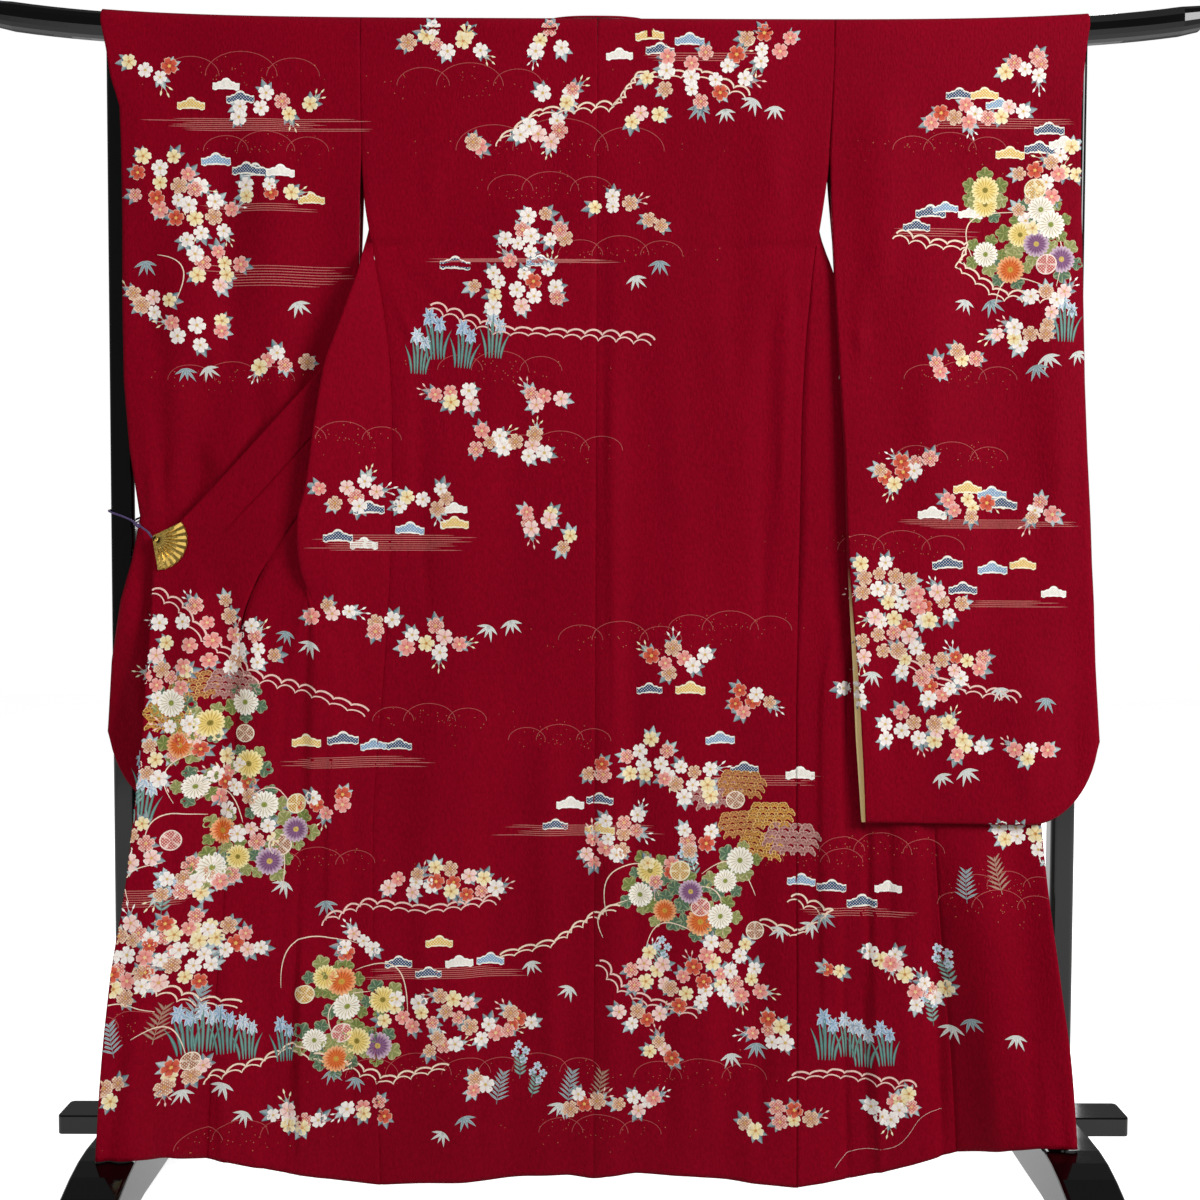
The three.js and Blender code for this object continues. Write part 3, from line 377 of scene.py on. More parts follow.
def cloth(name, points, node, thick=2.0, lining=LINING, flip=False,
          rim=1):
    """A sheet of cloth round a grid of middle points, crepe outside and lining inside. Its edges show
    the lining where rim is 1 and crepe where it is 0."""
    rows, columns = points.shape[:2]
    made = add_object(name, points.reshape(-1, 3), grid_faces(rows, columns, flip), [CREPE, lining])
    wall = made.modifiers.new("wall", "SOLIDIFY")
    wall.thickness, wall.offset, wall.material_offset, wall.material_offset_rim = thick * MM, 0, 1, rim
    wall.use_even_offset = False
    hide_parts(*([node] if isinstance(node, str) else node))
    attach(made, "root")
    return made


# ------------------------------------------------------------------ the rail and what hangs over it

# The cloth's middle surface hangs HANG from the rail's middle line, at AXIS, and crests CREST above it
HANG, CREST, AXIS = 23.7, 21.2, 1674.5
RISE, BEND, HALF = 27, 4.9, 845
ROUND = 2 / 2.5
OVER_ROWS = 25


def rise(x):
    """How far the rail's ends turn up: a high power of the distance from the middle."""
    return RISE * (np.abs(x) / HALF) ** BEND


# The way over the rail, half a superellipse, and the length along it
ANGLE = np.linspace(0, np.pi, 721)
OVER_Y = -HANG * np.sign(np.cos(ANGLE)) * np.abs(np.cos(ANGLE)) ** ROUND
OVER_Z = CREST * np.abs(np.sin(ANGLE)) ** ROUND
OVER_S = np.concatenate([[0], np.cumsum(np.hypot(np.diff(OVER_Y), np.diff(OVER_Z)))])
OVER_LENGTH = OVER_S[-1]


def hung(x, share, off=0.0):
    """Cloth over the rail: share 0 is where it leaves the rail towards -Y and 1 where it leaves it on
    the far side; past those it hangs straight. off moves it away from the rail."""
    x, share, off = np.broadcast_arrays(np.asarray(x, float), share, off)
    s = share * OVER_LENGTH
    y = np.interp(s, OVER_S, OVER_Y)
    z = np.interp(s, OVER_S, OVER_Z)
    over = AXIS + rise(x) + z * (1 + off / CREST)
    over = over + np.minimum(s, 0) - np.maximum(s - OVER_LENGTH, 0)
    return np.stack([x, y * (1 + off / HANG), over], -1)


NECK_HALF, NECK_BACK = 90, 0.36


def neck_edge(share):
    """Half the neck opening's width at a share of the way over the rail: a quarter ellipse from NECK_BACK."""
    t = np.clip((share - NECK_BACK) / (1 - NECK_BACK), 0, 1)
    return np.maximum(0.15, NECK_HALF * np.sqrt(1 - (1 - t) ** 2))


# ------------------------------------------------------------------ the body

# Sections through a front: S side edge, R ridge fold, M behind it, B hidden fold, O okumi seam, F
# collar seam, C free edge, each as x and y; hr and hb press the folds at R and B.
# columns: z zc | S | R | M | B | O | F | C | hr hb
FRONT_LEFT = np.array([
    [1640, 1612, 329.7, 23.4, 250, 24, 212, 24, 174, 24, 91, 24, 88.5, 25.5, 98, 31.5, 0, 0],
    [1600, 1570, 329.5, 23.4, 250, 23.4, 172, 22, 94, 21, 98, 28, 99, 29.8, 130, 31, 0, 0.3],
    [1560, 1541, 329.1, 23.2, 250, 22, 173, 20, 96, 18.5, 103, 27, 103.5, 27.5, 152, 28.5, 0, 0.8],
    [1510, 1510, 328.1, 22, 250, 20, 174, 18, 98, 16, 108, 25, 108, 25, 175, 25, 0, 1],
    [1440, 1440, 324, 8, 306, 7, 212, 7, 119, 8, 154, 18, 156, 18, 223, 14, 0, 1],
    [1386, 1386, 315.7, -19.4, 322, -13, 225, -6, 129, 0, 182, 9, 193, 9, 260, 3, 0, 1],
    [1343, 1343, 309, -25, 331, -36, 306, -17, 160, 3, 205, 7, 224, 4, 291, -8, 0.6, 1],
    [1299, 1299, 300.5, -27, 345, -44, 297, -18, 185, 4, 218, 5, 245, 2, 319, -14, 1, 1],
    [1254, 1254, 294, -29, 361, -48, 290, -19, 216, 2, 242, 2, 277, -4, 350, -24, 1, 1],
    [1212, 1212, 289.5, -30, 376, -50, 288, -20, 244, -1, 263, -1, 306, -11, 380, -29, 1, 1],
    [1137, 1137, 286.5, -32, 389, -54, 337, -38, 286, -15, 318, -17, 374, -25, 447, -33, 1, 1],
    [1037, 1037, 286, -34, 403, -58, 370, -44, 336, -30, 390, -31, 464, -35, 537, -38, 1, 1],
    [984, 984, 287, -35, 415, -60, 392, -50, 366, -40, 428, -40, 512, -41, 586, -41, 1, 1],
    [965, 946, 287.7, -35.2, 415, -60, 395, -50.5, 373, -42, 440, -41, 529, -41, 617, -41, 0.9, 0.9],
    [902, 902, 290, -36, 415, -58, 405, -52, 395, -46, 478, -43, 548, -41.5, 621, -41.5, 0.5, 0.5],
    [820, 828, 295, -37, 350, -52, 385, -60, 430, -60, 499, -50, 560, -56, 621, -58, 0, 0],
    [739, 755, 301, -39, 350, -50, 395, -60, 450, -62, 499, -54, 562, -66, 623, -74, 0, 0],
    [640, 666, 309, -42, 355, -50, 405, -60, 455, -66, 504, -62, 566, -80, 625, -93, 0, 0],
    [555, 590, 313, -45, 358, -52, 408, -62, 460, -70, 509, -70, 570, -92, 629, -110, 0, 0],
    [453, 498, 313, -49, 360, -56, 410, -66, 462, -76, 514, -78, 578, -110, 636, -128, 0, 0],
    [309, 369, 311, -54, 360, -60, 412, -70, 466, -82, 523, -90, 588, -138, 652, -155, 0, 0],
    [180, 253, 306, -57, 360, -64, 415, -75, 471, -88, 530, -98, 596, -165, 658, -178, 0, 0],
    [56, 141, 302, -59, 360, -68, 418, -80, 476, -93, 535, -105, 602, -185, 662, -190, 0, 0],
], float)
FRONT_RIGHT = np.array([
    [1640, 1612, 329.7, 23.4, 250, 24, 212, 24, 174, 24, 91, 24, 88.5, 25.5, 98, 31.5, 0, 0],
    [1600, 1570, 328.3, 23.4, 250, 23.4, 172, 22, 94, 21, 98, 28, 99, 29.8, 130, 31, 0, 0.3],
    [1560, 1541, 327.3, 23.2, 250, 22, 173, 20, 96, 18.5, 103, 27, 103.5, 27.5, 152, 28.5, 0, 0.8],
    [1510, 1510, 325.1, 22, 250, 20, 174, 18, 98, 16, 108, 25, 108, 25, 175, 25, 0, 1],
    [1440, 1440, 317, 8, 300, 7, 210, 7, 119, 8, 154, 18, 156, 18, 223, 15, 0, 1],
    [1386, 1386, 309, -19.4, 315, -13, 222, -6, 129, 2, 182, 10, 193, 10, 260, 5, 0, 1],
    [1343, 1343, 303.5, -24.5, 331, -21, 300, -13, 160, 5, 205, 11, 224, 9, 291, 0, 0.6, 1],
    [1299, 1299, 299.5, -25, 348, -22, 296, -14, 185, 4, 218, 8, 245, 6, 319, -3, 1, 1],
    [1254, 1254, 295.5, -26, 364, -22, 300, -14, 216, 2, 242, 5, 277, 3, 350, -5, 1, 1],
    [1212, 1212, 293, -26, 379, -22, 310, -14, 244, 0, 263, 3, 306, 1, 380, -5, 1, 1],
    [1137, 1137, 290, -27, 392, -22, 340, -15, 286, -4, 318, -1, 374, -3, 447, -6, 1, 1],
    [1037, 1037, 289, -27.5, 405, -23, 370, -16, 336, -8, 390, -5, 464, -6, 537, -7, 1, 1],
    [984, 984, 288.5, -28, 418, -24, 392, -17, 366, -10, 428, -9, 512, -9, 586, -9, 1, 1],
    [965, 946, 288.3, -28.1, 418, -24.5, 395, -17.6, 373, -11, 440, -9, 529, -9, 616, -9, 0.9, 0.9],
    [902, 902, 287.5, -28.5, 415, -26, 405, -20, 395, -14.5, 478, -11, 545, -9.5, 619, -9.5, 0.5, 0.5],
    [820, 829, 286.5, -30, 350, -27, 400, -26, 440, -26, 481, -22, 550, -20, 620, -18, 0, 0],
    [739, 756, 285.5, -31, 335, -30, 385, -30, 432, -30, 480, -28, 552, -26, 622, -26, 0, 0],
    [640, 668, 286, -33.5, 335, -33, 385, -34, 432, -36, 479, -36, 552, -38, 623, -38, 0, 0],
    [555, 592, 286.5, -37, 335, -38, 385, -41, 432, -43, 479, -46, 554, -50, 624, -56, 0, 0],
    [453, 501, 287, -41, 335, -44, 385, -48, 434, -52, 483, -56, 560, -72, 627, -82, 0, 0],
    [309, 372, 288, -48, 338, -52, 390, -58, 442, -63, 493, -68, 580, -106, 637, -116, 0, 0],
    [180, 257, 288, -57, 340, -61, 394, -67, 448, -73, 501, -79, 596, -136, 648, -140, 0, 0],
    [56, 146, 288, -65, 343, -69, 398, -74, 452, -79, 507, -85, 606, -153, 655, -151, 0, 0],
], float)
# How far each corner of a low section goes from z towards zc, by a share
LIFT = np.array([0, 0.12, 0.26, 0.44, 0.66, 1, 1])
SHOULDER, HEM = 329.7, 56
TOP_ROW = [AXIS, 1640, SHOULDER, 23.7, 250, 23.7, 212, 23.7, 174, 23.7, 90.2, 23.7, 90, 25, 66, 28, 0, 0]
SLIT_BOTTOM, LIFT_FROM, END_Z = 1386, 902, 965
FOLD, ALLOWANCE = 2.6, 4.5
PRESSED, OPEN = 6, 28
SECTION_STEPS, CORNER_STEPS = (10, 1, 7, 7, 1, 5), 7
COLUMNS = 62

# Folds in the back: x, half width, depth towards -Y, height at which it fades in
BACK_FOLDS = np.array([[26, 20, 5, 1500], [-34, 26, -2.5, 900], [118, 34, 5, 1250], [196, 30, -4, 900],
                       [-112, 36, -4, 1100], [-190, 40, 6, 1350]], float)
BACK_MIDDLE = np.array([[56, -40], [160, -38.5], [400, -30], [1100, -24], [1674.5, -23.7]], float)
BACK_HEM = np.array([[-302, 56], [-186, 56], [-94, 61], [-35, 62], [0, 58], [19, 62], [61, 67],
                     [134, 65], [225, 57], [289, 55]], float)
# Small creases in the back: x and z of both ends, half width, depth towards -Y
BACK_CREASES = np.array([
    [-236, 1347, -18, 1362, 3.2, 1.6], [2, 1365, 64, 1364, 3.2, 1.6],
    [-236, 1341, -18, 1356, 3, -1.2], [2, 1359, 64, 1358, 3, -1.2],
    [-300, 1330, -252, 1240, 9, 3.2], [-284, 1350, -206, 1290, 7, -1.8], [-276, 1230, -262, 1020, 12, 3.0],
    [-250, 1180, -236, 860, 14, -3.2], [22, 1180, 30, 700, 9, 3.2], [6, 1500, 12, 1060, 9, -2.4],
    [44, 900, 60, 380, 16, -4.4], [268, 1340, 262, 1020, 10, 3.6], [244, 1290, 234, 820, 14, -4.2],
    [150, 620, 168, 120, 20, 6.2], [96, 520, 106, 110, 18, -4.6], [-70, 700, -58, 160, 18, 5.4],
    [-150, 560, -166, 90, 16, -5.0], [-226, 760, -246, 200, 18, 5.0], [228, 520, 236, 90, 16, -4.8],
    [96, 1480, 110, 1000, 24, 2.6], [-120, 1500, -150, 1050, 28, 3.0], [-60, 1560, -76, 1230, 20, -2.4],
    [180, 1540, 196, 1180, 24, -2.8], [-214, 1600, -232, 1420, 22, 3.0], [236, 1600, 250, 1430, 20, 3.0],
    [-330, 1672, -318, 1590, 8, 2.2], [310, 1672, 300, 1580, 9, 2.4], [-300, 1668, -272, 1610, 7, -1.6],
    [274, 1668, 262, 1600, 8, -1.8],
], float)


def creases(x, z, table, sharp=1.0):
    """Troughs and ridges along straight lines: a bell across each, fading out towards its ends."""
    total = np.zeros(np.broadcast(x, z).shape)
    for x0, z0, x1, z1, wide, deep in table:
        dx, dz = x1 - x0, z1 - z0
        long2 = dx * dx + dz * dz
        t = ((x - x0) * dx + (z - z0) * dz) / long2
        off = ((x - x0) * dz - (z - z0) * dx) / math.sqrt(long2)
        ends = smooth((t + 0.12) / 0.35) * smooth((1.12 - t) / 0.35)
        total = total + deep * ends * bell(off / (wide * sharp * (1 + 0.4 * np.sin(5 * t))))
    return total


# The same for the two fronts, with X as a distance from the middle
FRONT_CREASES_LEFT = np.array([
    [518, 880, 528, 500, 17, -14.0], [556, 920, 566, 460, 17, 9.5], [470, 830, 462, 560, 20, 5.5],
    [420, 900, 424, 300, 22, -5.0], [372, 1000, 366, 330, 18, 4.5], [340, 640, 336, 120, 14, -5.0],
    [596, 700, 620, 160, 20, 6.5], [560, 420, 584, 90, 18, -7.0], [500, 420, 508, 90, 18, 6.0],
    [450, 380, 452, 70, 20, -6.5], [396, 420, 398, 80, 20, 6.5], [632, 420, 648, 90, 12, -4.0]], float)
FRONT_CREASES_RIGHT = np.array([
    [330, 900, 332, 200, 20, 5.0], [384, 860, 386, 300, 20, -5.0], [436, 760, 440, 120, 22, 6.5],
    [470, 620, 484, 90, 14, -6.0], [530, 560, 556, 90, 22, 6.5], [586, 620, 604, 120, 20, -6.0],
    [634, 520, 650, 90, 14, 4.5], [356, 420, 358, 70, 18, -5.5], [404, 380, 410, 70, 18, 5.0]], float)


def front_relief(x, z, side):
    """Creases and unevenness of a front below its clip, the same in the body's cloth and the gore."""
    table = FRONT_CREASES_LEFT if side < 0 else FRONT_CREASES_RIGHT
    low = smooth((1000 - z) / 130) * smooth((np.abs(x) - 300) / 26)
    return (creases(np.abs(x), z, table) + drape(x, z, 40 + side, 1.0)) * low


def drape(x, z, seed, size=1.0):
    """The slight unevenness of hanging cloth: seven slow sine waves, longer down than across and
    deeper the wider they are, with directions and phases drawn from seed."""
    r = np.random.default_rng(seed)
    total = np.zeros(np.broadcast(x, z).shape)
    for _ in range(7):
        across, down = r.uniform(55, 190), r.uniform(320, 1000)
        total = total + np.sin(2 * np.pi * (x / across + z / down * r.choice([-1, 1])) + r.uniform(0, 6.3)) * across
    return total / 900 * size * 1.9


def side_rows(table, z):
    """Columns of a front's table at the heights z, on cubics that never overshoot."""
    values = table[::-1]
    knots = values[:, 0]
    m = slopes(np.repeat(knots[:, None], values.shape[1], 1), values)
    i = np.clip(np.searchsorted(knots, z, side="right") - 1, 0, len(knots) - 2)
    h = (knots[i + 1] - knots[i])[:, None]
    return cubic(values[i], values[i + 1], m[i], m[i + 1], h, (z - knots[i])[:, None] / h)


def front_rows(table, z):
    """The table's rows at dense heights, with the collar's end at END_Z kept sharp."""
    above, below = table[table[:, 0] >= END_Z], table[table[:, 0] <= END_Z]
    high = z >= END_Z
    rows = np.empty((len(z), table.shape[1]))
    rows[high] = side_rows(above, z[high])
    rows[~high] = side_rows(below, z[~high])
    return rows


def corners(rows, side):
    """S, R, M, B, O, F and C of each row as points: (rows, 7, 3)."""
    low = (rows[:, 0] < LIFT_FROM)[:, None]
    share = np.where(low, LIFT, np.array([0, 0, 0, 0, 0, 0, 1.0]))
    z = rows[:, :1] + (rows[:, 1:2] - rows[:, :1]) * share
    return np.stack([side * rows[:, 2:16:2], rows[:, 3:17:2], z], -1)


def split_fold(at, before, after, pressed):
    """The two corners of a fold: one behind the other where pressed, along the cloth where open."""
    along = after - before
    along /= np.maximum(np.linalg.norm(along, axis=-1, keepdims=True), 1e-9)
    way = np.array([0, 1, 0]) * pressed[:, None] + along * (1 - pressed[:, None])
    way /= np.linalg.norm(way, axis=-1, keepdims=True)
    return at - FOLD * way, at + FOLD * way


def round_corner(before, at, after, reach, steps):
    """A corner rounded by a parabola that touches both arms at reach from it."""
    def arm(end):
        """The point of one arm at reach from the corner, or half way along it."""
        d = np.linalg.norm(end - at, axis=-1, keepdims=True)
        return at + (end - at) * np.minimum(reach / np.maximum(d, 1e-6), 0.5)
    a, b = arm(before), arm(after)
    t = np.linspace(0, 1, steps)[:, None, None]
    return (1 - t) ** 2 * a + 2 * t * (1 - t) * at + t * t * b


def front_section(points, hr, hb):
    """The body's section from S to O as COLUMNS points a row: straight runs between corners, each
    rounded by a parabola whose reach grows from PRESSED to OPEN as its fold opens."""
    s, r, m, b, o = [points[:, k] for k in range(5)]
    r1, r2 = split_fold(r, s, m, hr)
    b1, b2 = split_fold(b, m, o, hb)
    open_r = (PRESSED + (OPEN - PRESSED) * (1 - hr))[:, None]
    open_b = (PRESSED + (OPEN - PRESSED) * (1 - hb))[:, None]
    parts = [round_corner(*corner, CORNER_STEPS) for corner in (
        (s, r1, r2, open_r), (r1, r2, m, open_r), (r2, m, b1, 26), (m, b1, b2, open_b), (b1, b2, o, open_b))]
    run = [s[None]]
    last = s
    for k, part in zip(SECTION_STEPS, parts + [o[None]]):
        t = (np.arange(1, k + 1) / k)[:, None, None]
        run.append(last + (part[0] - last) * t)
        run.append(part[1:])
        last = part[-1]
    return np.concatenate(run).transpose(1, 0, 2)


def back_depth(x, z, edge_x, edge_y):
    """The back's depth: from its middle seam to its side edge as the square of the way across, with
    long folds and creases as bells across their lines, and a small step at each seam."""
    t = np.minimum(1, np.abs(x) / edge_x)
    middle = np.interp(z, BACK_MIDDLE[:, 0], BACK_MIDDLE[:, 1])
    folds = sum(d * bell((x - fx) / w) * smooth((from_z - z) / 500) for fx, w, d, from_z in BACK_FOLDS)
    fade = smooth((edge_x - np.abs(x)) / 40)
    seam = 1.3 * bell(x / 4.0) + 1.2 * bell((edge_x - np.abs(x)) / 4.0)
    rest = smooth((1640 - z) / 120)
    fine = creases(x, z, BACK_CREASES) + drape(x, z, 11, 0.9)
    return middle + (edge_y - middle) * t * t - fade * folds - fine * fade * rest + seam * rest


def even(count, lean=0.72):
    """Numbers from 0 to 1, closer together at both ends: level steps blended with a half cosine."""
    t = np.linspace(0, 1, count)
    return (1 - lean) * t + lean * (1 - np.cos(np.pi * t)) / 2


def eased(grid, weight, times, axis=1):
    """Points drawn towards the mean of their two neighbours along axis, by weight, with the ends left."""
    g = np.moveaxis(grid, axis, 1).copy()
    w = np.moveaxis(np.broadcast_to(weight, grid.shape[:2] + (1,)), axis, 1)[:, 1:-1]
    for _ in range(times):
        g[:, 1:-1] += w * (g[:, :-2] / 2 + g[:, 2:] / 2 - g[:, 1:-1])
    return np.moveaxis(g, 1, axis)


def turned_in(grid, first, last):
    """The grid with a seam allowance beyond its first and last columns, turned in along Y by first and
    last millimetres a row."""
    a, b = grid[:, :1].copy(), grid[:, -1:].copy()
    a[..., 1] += np.reshape(first, (-1, 1))
    b[..., 1] += np.reshape(last, (-1, 1))
    return np.concatenate([a, grid, b], 1)


def body_grid(table, side):
    """One length of cloth from the back hem over the rail to the front hem: level rows of the back,
    rows round the rail, and level rows of the front's section, all with the same columns."""
    table = np.vstack([TOP_ROW, table])
    z = np.concatenate([np.linspace(HEM, SLIT_BOTTOM, 190), np.linspace(SLIT_BOTTOM + 6, AXIS, 44)])
    rows = front_rows(table, z)
    edge_x = rows[:, 2:3]
    sewn = z[:, None] < SLIT_BOTTOM
    edge_y = np.where(sewn, rows[:, 3:4], -HANG)
    x = side * (edge_x - 0.2 - (edge_x - 0.35) * even(COLUMNS)[None])
    hem = np.interp(x, BACK_HEM[:, 0], BACK_HEM[:, 1])
    zz = z[:, None] + (hem - HEM) * smooth((300 - z[:, None]) / 240)
    back = np.stack([x, back_depth(x, z[:, None], edge_x, edge_y), zz], -1)

    front_z = z[::-1]
    front = front_section(corners(rows[::-1], side), rows[::-1, 16], rows[::-1, 17])
    # Over the rail the columns pass from the back's spacing to the front's
    share = np.linspace(0, 1, OVER_ROWS)[1:-1]
    t = even(COLUMNS)[None]
    first = np.abs(front[0, :, 0])
    first = (first[0] - first) / (first[0] - first[-1])
    t = t + (first[None] - t) * share[:, None]
    over_x = side * (SHOULDER - (SHOULDER - neck_edge(share)[:, None] - 0.15) * t)
    over = hung(over_x, share[:, None])
    fx, fz = front[..., 0], front[..., 2]
    # Below LIFT_FROM the folds are soft, and the change to them is spread up and down the cloth
    front = eased(front, smooth((915 - front_z) / 110)[:, None, None], 150)
    front = eased(front, (smooth((1010 - front_z) / 60) * smooth((front_z - 700) / 80))[:, None, None], 30, 0)
    front[..., 1] -= front_relief(fx, fz, side)
    # The seam allowances lie on the inside, and end clear of the rail
    inward = ALLOWANCE * smooth((1645 - z) / 40)
    back = turned_in(back, inward, inward)
    over = turned_in(over, 0, 0)
    inward = inward[::-1]
    front = turned_in(front, inward * (2 * smooth((1430 - front_z) / 50) - 1), inward)
    return back, over, front


def okumi_grid(table, side):
    """The gore from the okumi seam to the collar, and below the collar's end to the front edge: level
    rows with straight runs between the table's corners, which are smoothed below the collar's end."""
    z = np.concatenate([np.linspace(1440, END_Z + 0.4, 80), np.linspace(END_Z, HEM, 130)])
    rows = front_rows(table, z)
    p = corners(rows, side)
    o, f, c = p[:, 4], p[:, 5], p[:, 6]
    above = z > END_Z
    # Above the collar's end a tab of the gore goes on behind the collar, down to its seam allowance
    tab = np.maximum(0.045, smooth((END_Z + 70 - z) / 70))[:, None]
    half = np.linspace(0, 1, 16)[None, :, None]
    outer = (f[:, None] + ((c - f) * tab)[:, None] * half)[:, 1:]
    outer[..., 1] += 2.6 * smooth((z - END_Z) / 16)[:, None]
    lower = np.concatenate([o[:, None] + (f - o)[:, None] * half, outer], 1)
    grid = np.where(above[:, None, None], lower, eased(lower, 0.5, 15))
    grid[..., 1] -= front_relief(grid[..., 0], grid[..., 2], side)
    return turned_in(grid, ALLOWANCE, 0)


# Sections of the collar round the neck: x and share of the rail's way at its seam, x and z at its edge
NECK = np.array([[90, 1.02, 66, 1634], [88, 0.88, 55, 1643], [80.5, 0.716, 42, 1648],
                 [56, 0.5, 28, 1652], [22, 0.38, 12, 1655], [0, 0.36, 0, 1656]], float)


def collar_grid():
    """The collar band from one end round the neck to the other: rows along it, columns across."""
    def half(table, side):
        """One side's rows: round the neck as NECK says, and down the front between its F and C."""
        p = corners(front_rows(table, np.append(table[:13, 0], END_Z + 1.5)), side)
        t = np.linspace(0, 1, 8)[None, :, None]
        front = p[:, 5:6] + (p[:, 6:7] - p[:, 5:6]) * t
        rows = []
        for fx, fs, cx, cz in NECK:
            s = np.linspace(0, 1, 8)
            end = 1 + (AXIS - cz) / OVER_LENGTH
            share = fs + (end - fs) * s
            off = 3.2 + 2 * smooth((share - 0.8) * 2) * s
            rows.append(hung(side * (fx + (cx - fx) * s), share, off))
        return np.array(rows), front
    neck_left, left = half(FRONT_LEFT, -1)
    neck_right, right = half(FRONT_RIGHT, 1)
    for end in (left, right):
        end[-1, :, 2] -= 2.6
        end[-1, :, 1] += 1.2
    grid = np.concatenate([left[::-1], neck_left, neck_right[::-1][1:], right])
    # The seam edge starts 0.8 mm in, clear of the body's neck edge
    grid[:, 0] += (grid[:, 1] - grid[:, 0]) * (0.8 / np.linalg.norm(grid[:, 1] - grid[:, 0], axis=-1))[:, None]
    grid = refine(grid, [8] * (len(grid) - 1), 0)
    return refine(grid, [3] * 7, 1)


# ------------------------------------------------------------------ the sleeves

# columns: z xi xo ybi ybo yfi yfo, the edges' x and the depths of the -Y and the far layer
SLEEVE_LEFT = np.array([
    [1674.5, 330, 690, -23.7, -23.7, 23.7, 23.7], [1640, 330, 683, -23.7, -23.7, 23.7, 23.7],
    [1600, 329.8, 677, -23.4, -23.4, 23.4, 20], [1560, 329.4, 664, -23.4, -24, 23.4, 8],
    [1510, 328.4, 662, -23.4, -26, 22, -21], [1455, 331, 662, -20, -26, 20, -21],
    [1386, 333, 662, -13, -26, 16, -20.5], [1299, 335.5, 663, -8, -26, 13, -20.5],
    [1189, 339, 662, -8, -26, 12, -20.5], [1092, 342, 655, -8, -26, 11, -20.5],
    [997, 344, 641, -8, -25, 10, -20], [937, 346, 653, -8, -26, 9, -20.5],
    [880, 347, 669.5, -8, -26, 8, -20.5], [795, 349, 683, -8, -26, 6, -20.5],
    [690, 351, 690, -9, -26, 3, -20.5], [579, 353, 690, -10, -26, 0, -20.5]], float)
SLEEVE_RIGHT = np.array([
    [1674.5, 330, 685, -23.7, -23.7, 23.7, 23.7], [1640, 330, 680, -23.7, -23.7, 23.7, 23.7],
    [1600, 328.6, 677, -23.4, -23.4, 23.4, 20], [1560, 327.6, 675, -23.4, -24, 23.4, 8],
    [1510, 325.4, 674, -23.8, -27, 22, -21.5], [1455, 326.4, 675, -27, -28, 2, -21.5],
    [1386, 329, 678, -33, -29, -24, -22.5], [1299, 334, 680, -35, -32, -27.5, -26],
    [1189, 341, 683, -38, -35, -30, -29], [1092, 347.5, 687, -41, -39, -33, -33],
    [997, 350.5, 692, -43, -43, -35, -37], [937, 353, 694, -45, -46, -37, -40],
    [880, 356, 697, -48, -49, -40, -43], [795, 361, 700, -51, -52, -43, -46],
    [690, 366, 704, -55, -63, -47, -57], [573, 374, 704, -60, -75, -53, -69]], float)
CORNER_WIDE, CORNER_HIGH, CUFF = 100, 140, 1466
SLEEVE_COLUMNS, SLEEVE_ROWS = 46, 150
# Creases of each sleeve, laid out as those of the back
LEFT_CREASES = np.array([
    [-556, 1220, -562, 990, 22, -9.0], [-628, 1240, -620, 990, 15, 6.0], [-500, 1130, -520, 990, 16, 5.0],
    [-470, 1520, -440, 1080, 30, 7.5], [-560, 1480, -596, 1030, 26, 6.5], [-626, 1340, -606, 980, 18, -6.0],
    [-512, 1560, -520, 1160, 24, -6.5], [-380, 1460, -398, 1080, 24, -5.0], [-600, 1200, -520, 1050, 20, 4.6],
    [-655, 900, -640, 680, 16, 4.5], [-640, 980, -560, 1120, 14, 4.6], [-520, 1650, -505, 1480, 44, 4.0],
    [-352, 1672, -362, 1590, 8, 2.4], [-376, 1668, -392, 1610, 8, -1.8], [-650, 1630, -632, 1420, 20, 4.0],
    [-586, 1668, -580, 1540, 26, -3.0], [-420, 1640, -430, 1480, 26, -3.2]], float)
RIGHT_CREASES = np.array([
    [398, 1600, 392, 1300, 30, 6.5], [470, 1520, 462, 1020, 38, 6.5], [560, 1360, 556, 880, 34, -5.8],
    [640, 1460, 646, 960, 28, 6.4], [420, 1020, 414, 640, 28, -5.5], [600, 820, 606, 600, 28, 5.5],
    [500, 900, 492, 600, 30, 4.6], [664, 900, 670, 620, 20, -4.6], [372, 1340, 366, 1210, 9, 2.6],
    [363, 1262, 372, 1228, 5, 2.8], [520, 1640, 540, 1480, 46, 4.0], [350, 1672, 356, 1590, 8, 2.4],
    [376, 1668, 384, 1600, 8, -1.8], [620, 1650, 628, 1500, 28, -3.6]], float)


